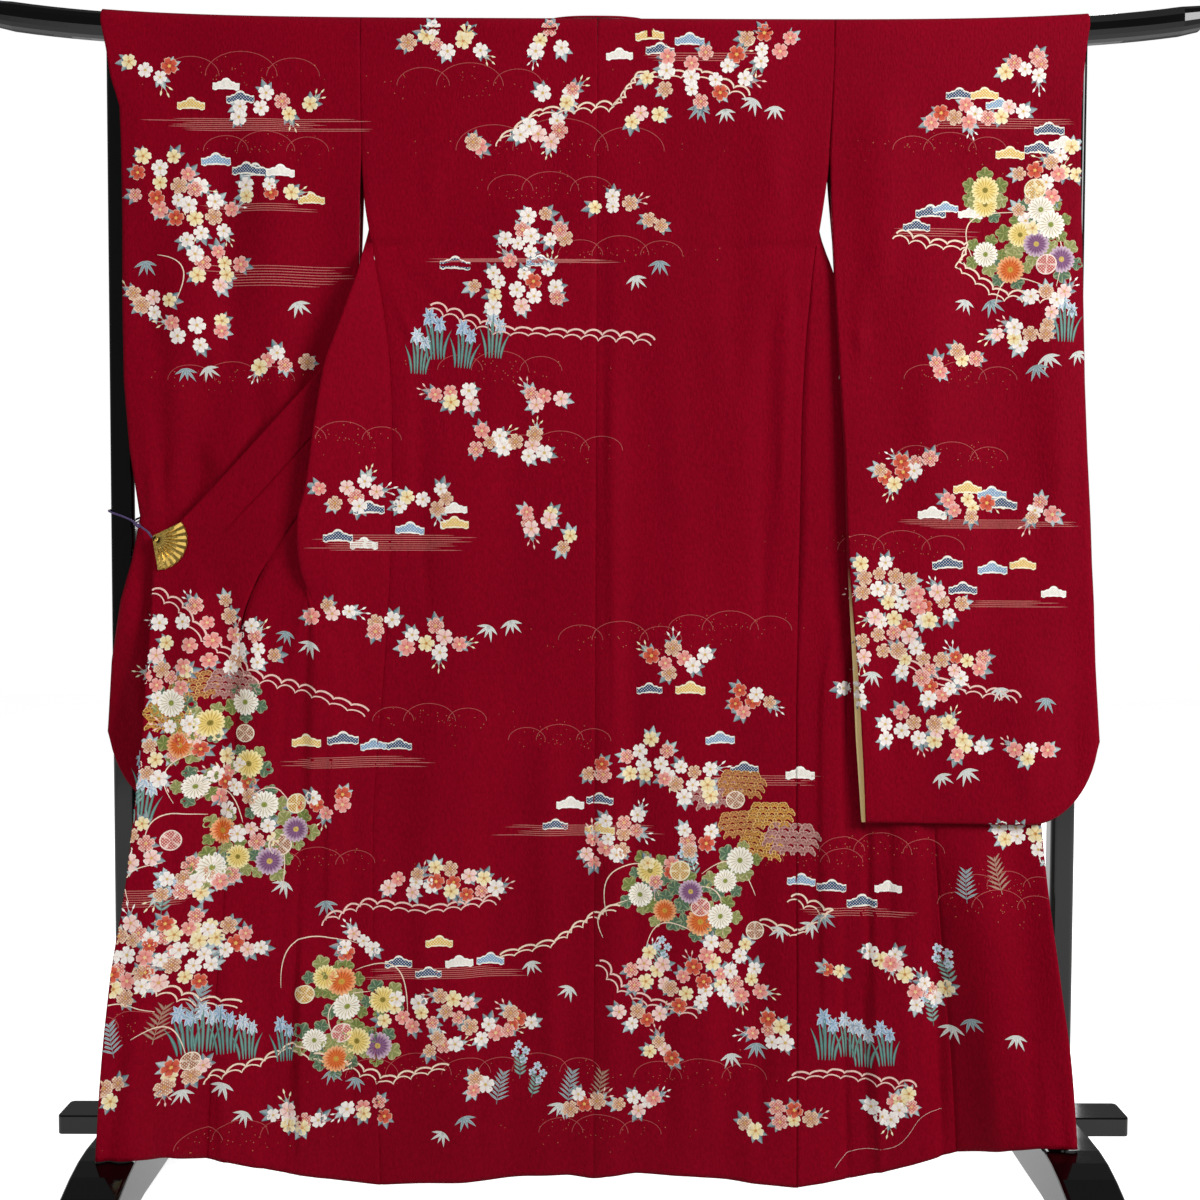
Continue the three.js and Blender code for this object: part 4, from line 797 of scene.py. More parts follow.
def sleeve_grid(table, side, crease_table, seed):
    """A pouch: up the -Y layer, over the rail, down the far layer. The layers close on each other at
    the outer edge below the cuff and along the bottom, whose outer corner is a quarter ellipse. u runs
    across each layer and v up it."""
    knots = table[::-1]

    def at(z, k):
        """The table's column k at the heights z, on straight lines."""
        return np.interp(z, knots[:, 0], knots[:, k])

    u = even(SLEEVE_COLUMNS, 0.6)[None]
    low_z = table[-1, 0]
    low_x = at(low_z, 1) + (at(low_z, 2) - at(low_z, 1)) * u
    reach = np.clip((low_x - (at(low_z, 2) - CORNER_WIDE)) / CORNER_WIDE, 0, 0.985)
    bottom = low_z + CORNER_HIGH * (1 - np.sqrt(1 - reach ** 2))
    v = np.concatenate([[0, 0.0012, 0.003, 0.006, 0.012], np.linspace(0.02, 1, SLEEVE_ROWS)])[:, None]
    z = bottom + (AXIS - bottom) * v
    x = at(z, 1) + (at(z, 2) - at(z, 1)) * u
    inside = smooth(u)
    yb = at(z, 3) + (at(z, 4) - at(z, 3)) * inside
    yf = at(z, 5) + (at(z, 6) - at(z, 5)) * inside
    # 1 inside the pouch, 0 where the layers meet at the closed edges
    closed = smooth((CUFF + 14 - z) / 28)
    edge = np.sqrt(np.clip(1 - np.clip((u - 0.975) / 0.025, 0, 1) ** 2, 0, 1))
    foot = np.sqrt(np.clip(1 - np.clip(1 - (z - bottom) / 9, 0, 1) ** 2, 0, 1))
    gap = (1 + (edge - 1) * closed) * foot
    middle, half = (yb + yf) / 2, (yf - yb) / 2 * gap
    fine = (creases(side * x, z, crease_table) + drape(side * x, z, seed, 1.1)) * smooth((1640 - z) / 100)
    fine = fine * np.minimum(gap, 1)
    # Towards the rail's turned-up ends the cloth rises with it
    lift = rise(x) * smooth((z - 1300) / 300)
    # The near layer's inner edge draws back low down, and shows the lining of the far one
    back = 7.5 * bell((z - 700) / 190) * smooth((0.12 - u) / 0.12) * (side > 0)
    near = np.stack([side * (x + back), middle - half - fine, z + lift], -1)
    far = np.stack([side * x, middle + half - 0.45 * fine, z + lift], -1)
    share = np.linspace(0, 1, OVER_ROWS)[1:-1, None]
    over = hung(side * (at(AXIS, 1) + (at(AXIS, 2) - at(AXIS, 1)) * u), share)
    return np.concatenate([near, over, far[::-1]])


# ------------------------------------------------------------------ dyed motifs: colours and shapes


def linear(text):
    """Six-digit colours as linear light."""
    c = np.array([[int(t[i:i + 2], 16) for i in (0, 2, 4)] for t in text.split()]) / 255
    return np.where(c <= 0.04045, c / 12.92, ((c + 0.055) / 1.055) ** 2.4)


class Shape:
    """A flat motif: points (x, z) in millimetres, faces seen counterclockwise, a paint number for each
    point. A number from 5 up is the paint five below it with tied-resist dots."""

    def __init__(self, points, faces, paint):
        self.points, self.faces, self.paint = np.asarray(points, float), np.asarray(faces), np.asarray(paint)


def joined(*shapes):
    """Several shapes as one."""
    first = np.cumsum([0] + [len(s.points) for s in shapes])
    return Shape(np.concatenate([s.points for s in shapes]),
                 np.concatenate([s.faces + k for s, k in zip(shapes, first)]),
                 np.concatenate([s.paint for s in shapes]))


def moved(shape, x=0, z=0, turn=0, size=1.0):
    """The shape sized, turned and then moved."""
    c, s = math.cos(turn), math.sin(turn)
    p = shape.points * size
    return Shape(np.stack([p[:, 0] * c - p[:, 1] * s + x, p[:, 0] * s + p[:, 1] * c + z], 1), shape.faces,
                 shape.paint)


def round_shape(outline, rings, paints):
    """Rings of one closed outline: its points scaled by each of rings, painted by paints."""
    outline = np.asarray(outline, float)
    points = (np.asarray(rings)[:, None, None] * outline).reshape(-1, 2)
    paint = np.ravel(paints) if np.ndim(paints) > 1 else np.repeat(paints, len(outline))
    return Shape(points, ring_faces(len(rings), len(outline)), paint)


def strip_shape(path, width, paint=0):
    """A line along a path: points half of width to each side of it. The width may vary along it."""
    path = np.asarray(path, float)
    way = np.gradient(path, axis=0)
    way /= np.maximum(np.linalg.norm(way, axis=1, keepdims=True), 1e-9)
    side = np.stack([-way[:, 1], way[:, 0]], 1) * (np.broadcast_to(width, len(path)) / 2)[:, None]
    k = len(path)
    points = np.concatenate([path - side, path + side])
    a = np.arange(k - 1)
    return Shape(points, np.stack([a, a + 1, a + k + 1, a + k], 1), np.full(2 * k, paint))


def blade(long, wide, paints=(0, 1), bend=0.0, steps=7):
    """A leaf from the origin upwards: its half width goes as a sine of the length to a power, with a
    middle line of another paint; bend moves its tip to the side."""
    t = np.linspace(0, 1, steps)
    half = wide / 2 * np.sin(np.pi * np.clip(t, 0.03, 1) ** 0.72) + 0.05
    middle = np.stack([bend * t * t, long * t], 1)
    across = np.array([-1, -0.16, 0.16, 1])
    points = middle[:, None] + across[None, :, None] * half[:, None, None] * np.array([1.0, 0])
    edge, vein = paints
    return Shape(points.reshape(-1, 2), grid_faces(steps, 4), np.tile([edge, vein, vein, edge], steps))


def angles(steps, start=0.0):
    """Angles that divide a full turn evenly."""
    return start + np.arange(steps) * 2 * np.pi / steps


def petalled(radius, petals, depth, steps, notch=0.0):
    """A closed outline of petals: the radius falls between petals by depth, and dips in each by notch."""
    a = angles(steps, np.pi / 2)
    wave = np.abs(np.cos(petals * (a - np.pi / 2) / 2))
    r = radius * (1 - depth * (1 - wave) ** 2.2 - notch * np.clip((wave - 0.965) / 0.035, 0, 1))
    return np.stack([r * np.cos(a), r * np.sin(a)], 1)


def blossom(first=0):
    """A five-petalled blossom: pale rim, petals shaded between, a darker heart; first is added to the
    petals' paints."""
    paints = np.repeat([4, 4, first, first + 1, 2], 30).reshape(5, 30)
    paints[2, 3::6] = paints[3, 3::6] = 3
    return round_shape(petalled(12, 5, 0.36, 30, 0.07), [0.03, 0.13, 0.26, 0.86, 1.0], paints)


def buds():
    """Three teardrop buds on thin stems that spread from one point."""
    parts = []
    for turn, far in ((-0.55, 11.0), (0.05, 14.5), (0.6, 10.0)):
        stem = strip_shape(np.array([[0, 0], [0, far * 0.5], [0, far]]), 0.55, 1)
        drop = moved(blade(6.8, 2.5, (0, 2)), 0, far - 1)
        parts.append(moved(joined(stem, drop), 0, 0, turn))
    return joined(*parts)


def leaves():
    """Three leaves in a fan, pale at the edge and along the vein, to lie behind a blossom. The half
    width goes as a sine of the length to a power."""
    t = np.linspace(0, 1, 6)
    across = np.array([-1, -0.14, 0.14, 1])
    parts = []
    for turn, long in [(-0.75, 17), (0.0, 20), (0.78, 17)]:
        half = long * 0.24 * np.sin(np.pi * np.clip(t, 0.02, 1) ** 0.8) + 0.04
        p = np.stack([across[None] * half[:, None], np.repeat((long * t)[:, None], 4, 1)], -1)
        parts.append(moved(Shape(p.reshape(-1, 2), grid_faces(6, 4), np.tile([0, 2, 2, 1], 6)), 0, 0, turn))
    return joined(*parts)


def pine():
    """A pine cloud: the upper envelope of five round lobes over an arched foot with drooping ends, a
    pale rim round a dotted field."""
    u = 21.77 * np.sin(np.linspace(-np.pi / 2, np.pi / 2, 37))
    lobes = [(0, 10.6, 8.3), (-10.3, 6.2, 6.9), (10.3, 6.2, 6.9), (-17.3, 3.0, 4.5), (17.3, 3.0, 4.5)]
    top = np.max([z + np.sqrt(np.clip(r * r - (u - x) ** 2, 0, None)) for x, z, r in lobes], 0)
    arch = -0.6 + 0.9 * np.cos(np.pi * u / 44) + 0.5 * np.abs(np.cos(np.pi * u / 12))
    ends = 3.0 - np.sqrt(np.clip(4.5 ** 2 - (np.abs(u) - 17.3) ** 2, 0, None))
    foot = np.minimum(np.where(np.abs(u) > 12.8, np.minimum(arch, ends), arch), top - 0.4)
    rows = np.array([0, 0.13, 0.17, 0.8, 0.84, 1.0])
    points = np.stack([np.broadcast_to(u, (6, 37)), foot + (top - foot) * rows[:, None]], -1)
    paints = np.repeat([2, 2, 5, 5, 2, 2], 37).reshape(6, 37)
    paints[:, [0, 1, 2, -3, -2, -1]] = 2
    return Shape(points.reshape(-1, 2), grid_faces(6, 37), paints.ravel())


def bamboo():
    """Five narrow leaves hanging from one point."""
    return joined(*[moved(blade(long, 4.4, (0, 1), 0, 6), 0, 0, math.pi + turn)
                    for turn, long in [(-1.15, 19), (-0.55, 24), (0.0, 20), (0.5, 25), (1.1, 18)]])


def iris():
    """Slender upright blades behind two flowers of falling and standing petals."""
    parts = [moved(blade(long, 3.1, (3, 2), bend, 8), x, -26, 0)
             for x, long, bend in [(-9, 34, -9), (-5, 44, -5), (-2, 52, -1), (2, 46, 2), (5, 40, 6), (8, 30, 10)]]
    parts.append(moved(blade(20, 2.2, (3, 2), 1, 5), -4, 0))
    for x, z, size in [(-4, 20, 1.0), (6, 12, 0.85)]:
        for turn, long, wide in [(-2.5, 12, 6), (2.5, 12, 6), (math.pi, 13, 6.5), (-1.35, 8, 4), (1.35, 8, 4),
                                 (-0.4, 10, 4.2), (0.4, 10, 4.2)]:
            parts.append(moved(blade(long, wide, (0, 1), 0, 6), x, z, turn, size))
    return joined(*parts)


def chrysanthemum():
    """A many-petalled flower: petals between dark lines, a pale tip and a green-gold heart."""
    paints = np.repeat([4, 4, 0, 0, 2], 72).reshape(5, 72)
    paints[2:4, ::4] = 3
    return round_shape(petalled(17, 18, 0.16, 72), [0.03, 0.19, 0.23, 0.6, 1.0], paints)


def fan_leaf():
    """A lobed leaf with veins and a pale edge: five bumps round it, drawn in at its foot."""
    a = angles(30, np.pi / 2)
    lobes = 0.72 + 0.28 * np.abs(np.cos(2.5 * (a - np.pi / 2)))
    r = 12 * lobes * (1 - 0.45 * np.clip(np.cos(a + np.pi / 2), 0, 1) ** 4)
    paints = np.repeat([0, 0, 2], 30).reshape(3, 30)
    paints[:2, ::6] = 1
    return round_shape(np.stack([r * np.cos(a), r * np.sin(a)], 1), [0.03, 0.84, 1.0], paints)


def ball():
    """A round of tied-resist dots in quarters, with a rim."""
    paints = np.repeat([5, 5, 5, 2, 2], 24).reshape(5, 24)
    paints[:3, 3::6] = 2
    a = angles(24)
    return round_shape(np.stack([16 * np.cos(a), 15 * np.sin(a)], 1), [0.03, 0.45, 0.86, 0.9, 1.0], paints)


def clump():
    """A bank of trees: round crowns row over row, each a fan of gold ribs within a gold edge."""
    parts = []
    a = np.linspace(-0.35, np.pi + 0.35, 19)
    ribs = np.tile([1, 0, 0], 7)[:19]
    for row, (count, z) in enumerate([(4, 26), (5, 15), (5, 4), (4, -7)]):
        for k in range(count):
            x = (k - (count - 1) / 2) * 15 + (row % 2) * 3
            lobes = 11 * (0.86 + 0.14 * np.abs(np.cos(3 * a)))
            arc = np.stack([np.cos(a) * lobes, np.sin(a) * lobes - 3], 1)
            rows = np.array([arc * r for r in (0.02, 0.84, 0.9, 1.0)])
            paint = np.stack([ribs * 0 + 1, ribs, ribs * 0 + 2, ribs * 0 + 2]).ravel()
            parts.append(moved(Shape(rows.reshape(-1, 2), grid_faces(4, 19, flip=True), paint), x, z))
    return joined(*parts)


def grass():
    """A bending stem with narrow leaves in pairs."""
    t = np.linspace(0, 1, 9)
    stem = np.stack([6 * t * t - 2, 52 * t - 26], 1)
    parts = [strip_shape(stem, 0.9, 1)]
    for k in range(1, 8):
        for sign in (-1, 1):
            parts.append(moved(blade(21 - k, 3.2, (0, 1), sign * -3, 6), *stem[k], sign * (0.95 - 0.06 * k) - 0.1))
    return joined(*parts)


def bells():
    """A stem with leaves and four five-pointed bell flowers."""
    t = np.linspace(0, 1, 9)
    stem = np.stack([-7 * t * t + 2, 54 * t - 27], 1)
    parts = [strip_shape(stem, 0.9, 3)]
    for k in range(1, 6):
        for sign in (-1, 1):
            parts.append(moved(blade(13, 4, (3, 4), 0, 5), *stem[k], sign * 0.9))
    star = round_shape(petalled(7, 5, 0.45, 20), [0.01, 0.3, 0.34, 0.88, 0.9, 1.0], [4, 4, 0, 0, 2, 2])
    for x, z in [(-8, 14), (6, 4), (-3, 27), (9, 18)]:
        parts.append(moved(star, x, z))
    return joined(*parts)


def scallops(points, wave=25.0, deep=6.0):
    """A scalloped line through points: bumps of one size, each a power of a sine, above the line."""
    p = np.asarray(points, float)
    leg = np.linalg.norm(np.diff(p, axis=0), axis=1)
    s = np.concatenate([[0], np.cumsum(leg)])
    count = max(2, round(s[-1] / wave))
    q = np.linspace(0, s[-1], count * 14 + 1)
    base = np.stack([np.interp(q, s, p[:, 0]), np.interp(q, s, p[:, 1])], 1)
    way = np.gradient(base, axis=0)
    way /= np.linalg.norm(way, axis=1, keepdims=True)
    up = np.stack([-way[:, 1], way[:, 0]], 1)
    up *= np.sign(up[:, 1:2] + 1e-6)
    bump = np.abs(np.sin(np.pi * q / s[-1] * count)) ** 0.62
    size = 1 + 0.35 * np.sin(q / 37 + p[0, 0])
    return base + up * (deep * bump * size)[:, None]


def arcs(wide):
    """A low range of three thin overlapping arcs."""
    a = np.linspace(0, np.pi, 31)
    parts = []
    for x, r in [(-0.33, 0.3), (0.0, 0.38), (0.34, 0.28)]:
        curve = np.stack([wide * (x + r * 0.62 * np.cos(a)), wide * r * 0.42 * np.sin(a)], 1)
        parts.append(strip_shape(curve, 0.75))
    return joined(*parts)


def mist(x0, x1, z0, z1, seed):
    """Lines of mist: thin level lines of uneven length, one under another."""
    r = np.random.default_rng(seed)
    count = int(np.clip(abs(z0 - z1) / 2.2, 4, 8))
    parts = []
    for z in np.linspace(z0, z1, count):
        a, b = x0 + (x1 - x0) * r.uniform(-0.15, 0.15), x1 - (x1 - x0) * r.uniform(-0.15, 0.2)
        x = np.linspace(a, b, max(3, int((b - a) / 6)))
        taper = 0.85 * np.minimum(1, np.minimum(x - a, b - x) / 14) + 0.12
        parts.append(strip_shape(np.stack([x, np.full(len(x), z)], 1), taper))
    return joined(*parts)


# ------------------------------------------------------------------ dyed motifs: laying them on the cloth


class Surface:
    """What is seen of the cloth from one side: for each small square of (x, z), the nearest sample with
    its depth, its place and its slopes, so that a depth between samples follows the tangent plane."""

    CELL, X0, Z0, WIDE, HIGH = 1.5, -730.0, 30.0, 974, 1140
    HALF_THICK, STEEPEST = 1.0, 3.5

    def __init__(self, grids, far=False):
        self.sign = 1.0 if far else -1.0
        samples = []
        for g in grids:
            rows = np.linalg.norm(np.diff(g, axis=0), axis=-1).max(1)
            cols = np.linalg.norm(np.diff(g, axis=1), axis=-1).max(0)
            fine = self.lines(self.lines(g, rows, 0), cols, 1)
            samples.append(np.concatenate([fine, grid_normals(fine)], -1).reshape(-1, 6))
        s = np.concatenate(samples)
        s = s[np.abs(s[:, 4]) > 0.25]
        s = s[np.argsort(s[:, 1] * self.sign)]
        self.nearest = np.full(self.WIDE * self.HIGH, -1)
        self.nearest[self.square(s[:, 0], s[:, 2])] = np.arange(len(s))
        self.samples = s

    def square(self, x, z):
        """The number of the square that holds x and z."""
        i = ((x - self.X0) / self.CELL).astype(int).clip(0, self.WIDE - 1)
        j = ((z - self.Z0) / self.CELL).astype(int).clip(0, self.HIGH - 1)
        return i * self.HIGH + j

    def lines(self, grid, sizes, axis):
        """Lines added between a grid's lines so that none are further apart than a square."""
        k = np.maximum(1, np.ceil(sizes / (self.CELL * 0.7)).astype(int))
        at = np.concatenate([np.arange(m) / m + i for i, m in enumerate(k)] + [[len(k)]])
        i = np.minimum(at.astype(int), len(k) - 1)
        t = (at - i).reshape((-1, 1, 1) if axis == 0 else (1, -1, 1))
        a, b = np.take(grid, i, axis), np.take(grid, i + 1, axis)
        return a + (b - a) * t

    def lay(self, x, z, lift):
        """Points on the cloth's outer face at x and z, lifted by lift, and which of them meet cloth."""
        k = self.nearest[self.square(x, z)]
        s = self.samples[k]
        n = s[:, 3:] * (np.sign(s[:, 4]) * self.sign)[:, None]
        slope = np.clip(-n[:, [0, 2]] / n[:, 1:2], -self.STEEPEST, self.STEEPEST)
        y = s[:, 1] + slope[:, 0] * (x - s[:, 0]) + slope[:, 1] * (z - s[:, 2])
        p = np.stack([x, y, z], 1) + n * (self.HALF_THICK + lift)[:, None]
        return p, k >= 0


LAID, LAYER = 0.3, 0.05


def lay_shapes(name, surface, items, palettes):
    """One mesh of many flat shapes laid on the cloth. An item is a shape, x, z, turn, size, palette
    number and layer; the lowest layer lies LAID over the cloth and each layer LAYER over the one below.
    Faces that would bridge an edge of the cloth are left out."""
    base, points, faces, colour, lift = 0, [], [], [], []
    groups = {}
    for item in items:
        groups.setdefault(id(item[0]), []).append(item)
    for group in groups.values():
        shape = group[0][0]
        x, z, turn, size, palette, layer = np.array([g[1:] for g in group], float).T
        c, s = np.cos(turn) * size, np.sin(turn) * size
        px = shape.points[None, :, 0] * c[:, None] - shape.points[None, :, 1] * s[:, None] + x[:, None]
        pz = shape.points[None, :, 0] * s[:, None] + shape.points[None, :, 1] * c[:, None] + z[:, None]
        k, m = px.shape
        points.append(np.stack([px.ravel(), pz.ravel()], 1))
        faces.append((shape.faces[None] + (np.arange(k) * m)[:, None, None] + base).reshape(-1, 4))
        paint = palettes[palette.astype(int)[:, None], shape.paint[None] % 5]
        plain = np.broadcast_to((shape.paint < 5)[None, :, None], (k, m, 1))
        colour.append(np.concatenate([paint, plain], -1).reshape(-1, 4))
        lift.append(np.repeat(layer, m))
        base += k * m
    points, faces, colour, lift = map(np.concatenate, (points, faces, colour, lift))
    # The cloth bends away fast at the top of the rail, so the pieces there stand further off
    rail_edge = 0.7 * smooth((points[:, 1] - 1662) / 8)
    place, on = surface.lay(points[:, 0], points[:, 1], LAID + LAYER * lift + rail_edge)
    quad = place[faces]
    depth = np.ptp(quad[..., 1], axis=1)
    wide = np.maximum(np.ptp(quad[..., 0], axis=1), np.ptp(quad[..., 2], axis=1))
    keep = on[faces].all(1) & (depth < 1.2 * wide + 0.6)
    faces = faces[keep]
    if surface.sign > 0:
        faces = faces[:, ::-1]
    used = np.unique(faces)
    number = np.full(len(place), -1)
    number[used] = np.arange(len(used))
    made = add_object(name, place[used], number[faces], [DYED])
    layer = made.data.color_attributes.new("dye", "FLOAT_COLOR", "POINT")
    layer.data.foreach_set("color", colour[used].ravel())
    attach(made, "root")


def palette(*rows):
    """Rows of five paints as linear light. A row that names fewer goes on with its last."""
    return np.array([linear(" ".join((row.split() + row.split()[-1:] * 4)[:5])) for row in rows])


# Paints of a motif: 0 field, 1 field's second tone, 2 rim, 3 shade, 4 heart
BLOSSOM_PAINTS = palette(
    "f3ebe4 f7f1ea fffaf2 e9c9c0 d8b45c", "e58b83 efa79c fbded4 cf5a52 f3dc9a", "f1dca4 f5e6bd fdf3d8 dbb668 c98a4a",
    "c5432f d9634a f6cdb8 9a2a22 efc469", "f2c9c0 f6d9d0 fdf0ea dd8d86 d9ac58", "bd7f5c d9a984 f6e2cc b87858 d8a35c",
    "cf6a5e e59a8c f8dccf c25a52 eac27a")
LEAF_PAINTS = palette("34505c a9a3a8 8ea3a6", "2c4550 c79a94 7f99a2", "4c6a76 a9bcc0 c2cccc")
BUD_PAINTS = palette("f6efe8 faf4ee fffaf4", "ea9d92 f4bdb0 fbded2", "f0d9a2 f6e7c0 fcf2d8")
PINE_PAINTS = palette("efeae0 fdfbf5 fffdf6", "26486e f4f4ee f6f2e6", "e6bf62 f0d48a fbf1cf", "7fa3c4 e9eef0 f6f4ea")
PLANT_PAINTS = palette("e6e4dc c9d0cc e6e4dc 56707a 8ea3a6", "d3dfe8 8fb0cf 6f9a92 34605f dfe9e4",
                       "eef0ec a9c0d8 7aa294 2f5a5e e9d38a", "b7c4c6 7b949a e6e4dc 5d7a80 8ea3a6",
                       "c3d2e6 7f9bc8 f2f2f4 5a7f7c 8fb0a4", "8f6a5c b08a76 c9a58e 5d7a80 8ea3a6")
FLOWER_PAINTS = palette("f5efe2 f5efe2 fffaf0 b9a26a 8a9440", "efd57e efd57e faecb2 b98f3a 8a7a2e",
                        "e0702f e0702f f7bb85 a53a1e c99a3a", "8b5f86 a884a4 dcc0d2 5d3558 d0b25c")
GREEN_PAINTS = palette("6d7a3c a9a869 b5b07c", "4f6a52 93a37c a8ab86", "8b8f52 bdb985 c6c092")
BALL_PAINTS = palette("a8704f f1dcc4 f4e4cf", "cf9f45 f6e6bb f6ebca", "c4605a f5d5c8 f7e0d4")
LINE_PAINTS = palette("f6dcc4", "c06e68", "b4524f", "f2c9bc", "c47c52")
CLUMP_PAINTS = palette("7c2f22 c98e52 dfb06a", "8a4a3c b98a86 d0a8a0", "7c3a1e d9a24c ecc478")

# Places on the cloth, in millimetres: x z first, then wide high count for the blossom clusters, a kind
# for sprays and chrysanthemums, a width for the arcs, and for the mist x0 x1 z0 z1
BLOSSOMS = [
    (-560, 690, 70, 60, 7), (-505, 640, 60, 50, 6), (-575, 420, 90, 60, 9), (-470, 560, 60, 40, 5),
    (-530, 505, 60, 40, 5), (90, 500, 60, 40, 5), (140, 545, 60, 40, 5), (600, 1420, 50, 50, 5),
    (-66, 1660, 70, 42, 4), (-211, 1659, 127, 42, 8), (-620, 1623, 85, 35, 4), (-52, 1584, 85, 28, 4),
    (-461, 1569, 127, 42, 7), (-72, 1536, 85, 35, 6), (-170, 1515, 35, 17, 2), (-601, 1465, 113, 85, 12),
    (-462, 1452, 85, 28, 5), (-79, 1419, 35, 21, 2), (-552, 1417, 85, 85, 10), (-51, 1392, 49, 21, 3),
    (-107, 1385, 63, 35, 5), (-532, 1349, 85, 56, 8), (-107, 1322, 141, 70, 14), (-623, 1300, 70, 35, 5),
    (-561, 1258, 113, 42, 6), (-449, 1217, 85, 35, 5), (-198, 1169, 70, 35, 5), (-72, 1163, 56, 28, 4),
    (-156, 1107, 49, 42, 4), (-100, 1100, 70, 49, 6), (-345, 1029, 113, 42, 7), (-233, 1023, 99, 35, 6),
    (-85, 995, 70, 35, 5), (-36, 967, 35, 25, 2), (-374, 867, 63, 28, 4), (-303, 846, 42, 25, 3),
    (-543, 832, 155, 113, 16), (-233, 826, 85, 49, 7), (-480, 811, 70, 56, 7), (-593, 768, 70, 56, 7),
    (-615, 654, 56, 56, 6), (-502, 612, 70, 42, 5), (-375, 598, 85, 35, 6), (-630, 555, 63, 70, 8),
    (-560, 498, 85, 56, 8), (-205, 491, 70, 42, 6), (-262, 484, 70, 42, 6), (-163, 477, 49, 35, 4),
    (-546, 426, 85, 56, 9), (-631, 411, 85, 70, 10), (-489, 405, 56, 42, 5), (-333, 398, 70, 31, 5),
    (-553, 376, 78, 49, 7), (-632, 368, 70, 42, 6), (-198, 312, 56, 42, 5), (-262, 297, 85, 56, 8),
    (-106, 283, 42, 28, 4), (-148, 269, 63, 35, 5), (-220, 254, 49, 28, 4), (-569, 239, 63, 35, 5),
    (-647, 231, 49, 35, 4), (-163, 196, 42, 21, 3), (-20, 168, 56, 28, 4), (-320, 167, 63, 31, 5),
    (-434, 159, 49, 25, 4), (-402, 152, 35, 21, 3), (239, 1654, 70, 56, 6), (601, 1628, 78, 35, 6),
    (143, 1613, 155, 85, 14), (574, 1566, 42, 28, 3), (504, 1559, 92, 35, 7), (60, 1557, 56, 21, 3),
    (651, 1498, 42, 70, 5), (617, 1470, 70, 56, 6), (18, 1440, 63, 28, 4), (81, 1413, 35, 21, 2),
    (634, 1305, 56, 42, 5), (600, 1256, 85, 42, 7), (516, 1224, 42, 25, 3), (474, 1207, 35, 21, 2),
    (448, 1074, 49, 31, 4), (413, 1060, 63, 35, 5), (519, 1018, 78, 35, 6), (624, 1012, 56, 28, 4),
    (401, 912, 85, 63, 9), (478, 877, 78, 56, 7), (429, 870, 85, 63, 9), (401, 828, 85, 63, 8),
    (451, 800, 78, 56, 8), (119, 798, 85, 49, 7), (515, 793, 70, 39, 6), (473, 757, 56, 28, 4),
    (360, 757, 35, 35, 3), (219, 742, 78, 35, 6), (431, 707, 85, 49, 7), (495, 700, 70, 35, 5),
    (516, 679, 49, 25, 3), (609, 672, 56, 28, 4), (78, 656, 85, 63, 9), (7, 642, 42, 28, 3),
    (135, 628, 85, 63, 9), (589, 558, 63, 28, 5), (36, 556, 70, 56, 7), (625, 537, 35, 25, 3),
    (8, 528, 63, 42, 5), (407, 386, 56, 28, 4), (179, 385, 85, 35, 6), (428, 364, 35, 21, 2),
    (336, 364, 35, 21, 2), (79, 356, 70, 56, 8), (208, 342, 70, 56, 7), (464, 335, 63, 39, 6),
    (151, 334, 113, 63, 11), (65, 291, 63, 31, 5), (251, 270, 63, 42, 6), (94, 240, 49, 28, 4),
    (437, 183, 35, 25, 3), (409, 169, 63, 31, 5), (66, 168, 63, 31, 5), (280, 154, 63, 31, 5),
    (223, 139, 35, 17, 2),
]
PINES = [
    (-516, 1596), (-496, 1578), (-565, 1569), (-531, 1493), (-489, 1480), (-441, 1477), (-476, 1477),
    (-399, 1441), (-79, 1354), (-198, 1350), (-198, 1009), (-317, 1008), (-198, 988), (-261, 980),
    (-359, 969), (-324, 959), (-353, 686), (-403, 683), (-311, 677), (-276, 677), (-35, 592), (-56, 563),
    (-219, 398), (-148, 370), (-276, 369), (-191, 369), (-234, 355), (73, 1667), (128, 1660), (87, 1647),
    (31, 1640), (504, 1587), (539, 1587), (560, 1573), (630, 1539), (651, 1519), (616, 1512), (575, 1505),
    (485, 1429), (464, 1422), (520, 1422), (444, 1403), (519, 1039), (554, 1032), (568, 1018), (470, 1004),
    (492, 934), (597, 934), (555, 927), (513, 899), (640, 895), (77, 756), (134, 756), (177, 685),
    (212, 643), (290, 636), (7, 599), (7, 556), (292, 486), (334, 479), (413, 479), (377, 457),
]
MISTS = [
    (-600, -350, 1551, 1535), (-538, -392, 1434, 1425), (-218, 5, 1359, 1355), (-532, -358, 1349, 1322),
    (-401, -191, 973, 952), (-417, -247, 662, 648), (-120, 78, 563, 549), (-659, -560, 490, 469),
    (-305, -106, 362, 348), (59, 226, 1644, 1634), (449, 644, 1555, 1542), (423, 521, 1401, 1391),
    (442, 653, 997, 986), (514, 641, 884, 876), (149, 319, 635, 622), (292, 434, 450, 440),
]
ARCS = [
    (-495, 1610, 212), (-177, 1598, 197), (-51, 1509, 282), (-461, 1507, 169), (-65, 1454, 169),
    (-135, 1204, 169), (-512, 1189, 169), (-352, 1106, 155), (-50, 1093, 169), (-233, 712, 155),
    (-50, 684, 141), (-389, 512, 155), (-618, 311, 141), (-248, 211, 197), (-77, 211, 169),
    (-491, 137, 155), (491, 1511, 155), (33, 1365, 169), (509, 1193, 155), (497, 1081, 155),
    (428, 955, 169), (190, 841, 169), (35, 826, 169), (405, 529, 169), (291, 514, 169), (576, 487, 127),
    (562, 458, 155), (151, 204, 183), (9, 124, 169),
]
